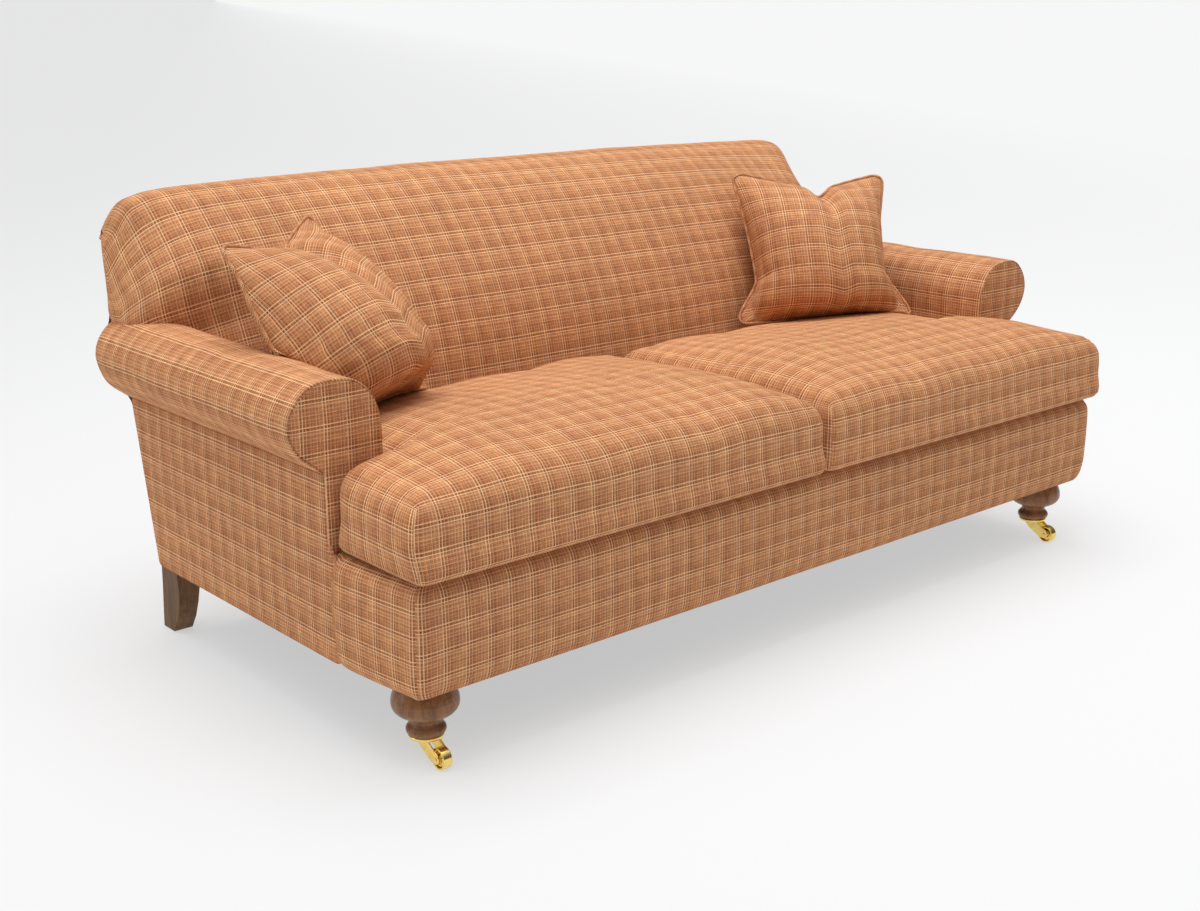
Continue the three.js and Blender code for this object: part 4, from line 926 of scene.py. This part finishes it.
# ------------------------------------------------------------------ turned legs and castors
def lathe(name, prof, seg, centre, material, axis="Z", ease=2, step=0.0009):
    """solid of revolution from a (radius, height) profile in millimetres, its arrises slightly eased"""
    p = np.array(prof, float) / 1000
    closed = bool(np.allclose(p[0], p[-1]))
    L = arc(p)[-1]; k = max(24, int(L / step))
    if closed: p = rounded(p[:-1], k, ease, True)
    else: p = rounded(p, k, ease)
    verts, faces, rings = [], [], []
    for r, z in p:
        if r < 1e-6: rings.append([len(verts)] * seg); verts.append((0, 0, z)); continue
        rings.append(list(range(len(verts), len(verts) + seg)))
        verts += [(r * math.cos(t), r * math.sin(t), z) for t in np.linspace(0, 2 * math.pi, seg, endpoint=False)]
    m = len(rings)
    for i in range(m if closed else m - 1):
        A, B = rings[i], rings[(i + 1) % m]
        for j in range(seg):
            f = [A[j], A[(j + 1) % seg], B[(j + 1) % seg], B[j]]
            g = [f[0]] + [x for x, y in zip(f[1:], f[:-1]) if x != y]
            if g[-1] == g[0]: g = g[:-1]
            if len(g) >= 3: faces.append(g)
    v = np.array(verts)
    if axis == "X": v = v[:, [2, 0, 1]]
    ob = mesh_object(name, v + np.array(centre), faces, None, material)
    face_outwards(ob)
    return ob

def plate(name, outline, x0, x1, centre, material, bevel=0.0009):
    """flat plate between x0 and x1 with a (y, z) outline in millimetres and eased arrises"""
    o = rounded(np.array(outline, float) / 1000, 90, 3, True)
    n = len(o)
    verts = [(x0, y, z) for y, z in o] + [(x1, y, z) for y, z in o]
    faces = [list(range(n))[::-1], list(range(n, 2 * n))] + [[i, (i + 1) % n, n + (i + 1) % n, n + i] for i in range(n)]
    ob = mesh_object(name, np.array(verts) + np.array(centre), faces, None, material)
    face_outwards(ob)
    m = ob.modifiers.new("ease", "BEVEL"); m.width = bevel; m.segments = 3; m.limit_method = "ANGLE"; m.angle_limit = math.radians(50)
    apply_modifiers(ob)
    ob.data.polygons.foreach_set("use_smooth", [True] * len(ob.data.polygons))
    return ob

def join(name, obs):
    bm = bmesh.new()
    for o in obs: bm.from_mesh(o.data)
    me = bpy.data.meshes.new(name); bm.to_mesh(me); bm.free()
    for m in obs[0].data.materials: me.materials.append(m)
    for o in obs: bpy.data.objects.remove(o, do_unlink=True)
    me.polygons.foreach_set("use_smooth", [True] * len(me.polygons))
    ob = bpy.data.objects.new(name, me); bpy.context.scene.collection.objects.link(ob)
    return ob

LEG = [(0, 53.7), (30, 53.7), (33.2, 55.6), (35.2, 58.8), (35.8, 62.2), (34.9, 66), (32.2, 69.5), (29.2, 72.4), (27.4, 75.8), (27, 79), (28.2, 82.3), (31.5, 85.3),
    (37, 88), (44.5, 91.2), (51.5, 95.7), (56.6, 101.3), (59.4, 107.6), (60, 114), (59.2, 122), (56.8, 130), (53.4, 138), (49.6, 145), (46.4, 150.5), (0, 150.5)]
LEGWOOD = wood_material("turned_stained_wood", lin(86, 52, 28), lin(152, 102, 60), 0.40, "Z", 0.35)
ARM_OUT = [(11, 47), (9.5, 38.5), (3, 31), (-9, 24), (-22, 16.5), (-34, 11.6), (-43, 10.8), (-50, 13.4), (-53.2, 19.6), (-51.5, 26.8), (-44, 33), (-34.5, 38), (-28, 42.4), (-24, 45.6), (-19, 49.2), (9, 49.2)]
for side, sx in (("left", -1), ("right", 1)):
    lx = 0.905 * sx
    leg = lathe(f"turned_leg_{side}", LEG, 72, (lx, 0, 0), LEGWOOD, ease=1)
    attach(leg, "frame"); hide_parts(f"front_leg_{side}")
    z0, z1, pr = 50.0, 53.4, 31.0
    top = lathe(f"castor_top_plate_{side}", [(4.6, z0), (26.6, z0), (27.0, 47.6), (27.8, 46.9), (29.6, 46.8), (31.4, 47.8), (32.0, 50), (31.8, 52.4), (30.6, z1), (4.6, z1), (4.6, z0)], 72, (lx, 0, 0), BRASS, ease=1, step=.0006)
    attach(top, "frame"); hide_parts(f"castor_plate_{side}")
    a1 = plate("a1", ARM_OUT, -.0134, -.0102, (lx, 0, 0), BRASS); a2 = plate("a2", ARM_OUT, .0102, .0134, (lx, 0, 0), BRASS)
    br = plate("a3", [(12, 43.9), (14, 46.5), (12, 49.2), (-17, 49.2), (-20, 46), (-17, 43.9)], -.0132, .0132, (lx, 0, 0), BRASS, .0012)
    boss = lathe("a4", [(4.7, 40.6), (8.2, 40.6), (9.2, 41.6), (9.2, 44.2), (4.7, 44.2), (4.7, 40.6)], 40, (lx, 0, 0), BRASS, ease=1, step=.0004)
    fork = join(f"castor_horn_{side}", [a1, a2, br, boss])
    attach(fork, f"{side}_castor"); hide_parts(f"castor_fork_{side}")
    wc = (lx, -.044, .020)
    wheel = lathe(f"castor_roller_{side}", [(3.2, -7.4), (7, -7.4), (7.4, -5), (8.6, -3.4), (14.6, -3.2), (15.6, -4.2), (16, -8.8), (19.0, -9), (19.9, -8.2),
        (20, 0), (19.9, 8.2), (19.0, 9), (16, 8.8), (15.6, 4.2), (14.6, 3.2), (8.6, 3.4), (7.4, 5), (7, 7.4), (3.2, 7.4), (3.2, -7.4)], 72, wc, BRASS, "X", ease=1, step=.0006)
    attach(wheel, f"{side}_castor_wheel"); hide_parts(f"castor_wheel_{side}")
    pin = lathe(f"castor_pin_{side}", [(0, -15.4), (2.4, -15.3), (3.6, -14.9), (4, -14.2), (3.9, -13.7), (2.8, -13.7), (2.8, 13.7), (3.9, 13.7), (4, 14.2), (3.6, 14.9), (2.4, 15.3), (0, 15.4)],
        36, wc, BRASS, "X", ease=1, step=.0004)
    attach(pin, f"{side}_castor"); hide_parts(f"castor_axle_{side}")

# ------------------------------------------------------------------ CAD nodes that stay
for nm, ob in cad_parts.items():
    m = None
    if nm.startswith(("front_rail", "back_rail", "centre_rail", "side_rail", "front_corner", "rear_corner", "back_post", "back_top_rail", "back_tuck", "arm_front_board", "arm_top_rail", "arm_tuck")): m = BEECH
    elif "webbing" in nm: m = JUTE
    elif nm == "seat_platform": m = CALICO
    elif nm == "dust_cover": m = LINING
    elif nm.startswith(("front_leg_bolt", "rear_leg_bolt", "castor_pintle")): m = STEEL
    elif nm.startswith(("front_leg", "rear_leg")): m = DARKWOOD
    elif nm.startswith("castor"): m = BRASS
    elif nm.startswith("rear_glide"): m = FELT
    elif nm.startswith("scatter"): m = PLAID
    if m:
        ob.data.materials.clear(); ob.data.materials.append(m)

# ------------------------------------------------------------------ floor, light, camera
SKY = 2.25
def floor():
    n = Nodes("studio_floor")
    t = n.noise(n.coords(), 0.6, 3.0)
    sp = n.node("ShaderNodeSeparateXYZ"); n.link(n.coords(), sp.inputs[0])
    # painted light: the floor's colour and its glow get lighter towards +x and -y, a painted gradient of uneven light
    # on the floor
    painted_light_ramp = n.math("MULTIPLY_ADD", n.math("ADD", n.math("MULTIPLY", sp.outputs[0], .75), n.math("MULTIPLY", sp.outputs[1], -.40)), .12, .20, clamp=True)
    f = n.math("MULTIPLY_ADD", t, 0.04, n.math("MULTIPLY", painted_light_ramp, .96))
    # painted light: the floor glows (Emission) though it is no lamp, which lightens the shadow under the sofa as a fill
    # light would
    m = n.finish(**{"Base Color": n.mix(f, (.332, .335, .340), (.376, .380, .385)), "Roughness": 0.9, "Specular IOR Level": 0.05,
        "Emission Color": n.mix(f, (.508, .508, .508), (.618, .618, .618)), "Emission Strength": 1.0})
    k = 6000
    # far away the floor turns up a little, so no edge shows against the sky
    t = np.array([-k, -k * .75, -k * .4, -60, -12, -6, 0, 6, 12, 60, k * .4, k * .75, k])
    v = [(x, y, -0.0004 if max(abs(x), abs(y)) < k else 60.0) for x in t for y in t]
    ob = mesh_object("studio_floor", np.array(v), grid_faces(13, 13), None, m)
    face_outwards(ob)
    if ob.data.polygons[0].normal.z < 0: ob.data.flip_normals()
floor()

def area(name, loc, target, size, energy, colour=(1, 1, 1), size_y=None):
    L = bpy.data.lights.new(name, "AREA"); L.energy = energy; L.size = size; L.color = colour
    if size_y: L.shape = "RECTANGLE"; L.size_y = size_y
    o = bpy.data.objects.new(name, L); bpy.context.scene.collection.objects.link(o)
    o.location = loc
    d = Vector(target) - Vector(loc)
    o.rotation_euler = d.to_track_quat("-Z", "Y").to_euler()
    return o
area("overhead_softbox", (0.0, 0.2, 5.6), (0, 0.1, 0.3), 4.6, 156, (1, 1, 1), 3.8)
area("left_softbox", (-4.2, 1.7, 1.5), (-0.9, 0.1, 0.35), 2.0, 4, (1, 1, 1), 1.8).data.spread = math.radians(80)

w = bpy.data.worlds.new("studio"); bpy.context.scene.world = w; w.use_nodes = True
wt = w.node_tree; bg = wt.nodes["Background"]
tc = wt.nodes.new("ShaderNodeTexCoord")
dot = wt.nodes.new("ShaderNodeVectorMath"); dot.operation = "DOT_PRODUCT"
wt.links.new(tc.outputs["Generated"], dot.inputs[0]); dot.inputs[1].default_value = (-.10, -.06, .993)
mx = wt.nodes.new("ShaderNodeMath"); mx.operation = "MAXIMUM"; wt.links.new(dot.outputs["Value"], mx.inputs[0]); mx.inputs[1].default_value = 0.0
pw = wt.nodes.new("ShaderNodeMath"); pw.operation = "POWER"; wt.links.new(mx.outputs[0], pw.inputs[0]); pw.inputs[1].default_value = 4.0
ad = wt.nodes.new("ShaderNodeMath"); ad.operation = "MULTIPLY_ADD"; wt.links.new(pw.outputs[0], ad.inputs[0]); ad.inputs[1].default_value = 1.0; ad.inputs[2].default_value = 0.04
wt.links.new(ad.outputs[0], bg.inputs[0]); bg.inputs[1].default_value = SKY
# behind the floor there is a plain pale backdrop
pale = wt.nodes.new("ShaderNodeBackground"); pale.inputs[0].default_value = (.86, .86, .865, 1)
lp = wt.nodes.new("ShaderNodeLightPath"); ms = wt.nodes.new("ShaderNodeMixShader")
wt.links.new(lp.outputs["Is Camera Ray"], ms.inputs[0]); wt.links.new(bg.outputs[0], ms.inputs[1]); wt.links.new(pale.outputs[0], ms.inputs[2])
wt.links.new(ms.outputs[0], wt.nodes["World Output"].inputs["Surface"])

vs = bpy.context.scene.view_settings
vs.view_transform = "Standard"; vs.look = "None"; vs.exposure = 0.0; vs.gamma = 1.0

cam = bpy.data.cameras.new("camera"); cam.sensor_width = 36; cam.lens = 47.615
cam.clip_start = 0.05; cam.clip_end = 20000
co = bpy.data.objects.new("camera", cam); bpy.context.scene.collection.objects.link(co)
co.location = (-2.3319, -2.085 - YC, 1.2693)
co.rotation_euler = (math.pi / 2 - 0.2791, 0, -0.7194)
bpy.context.scene.camera = co
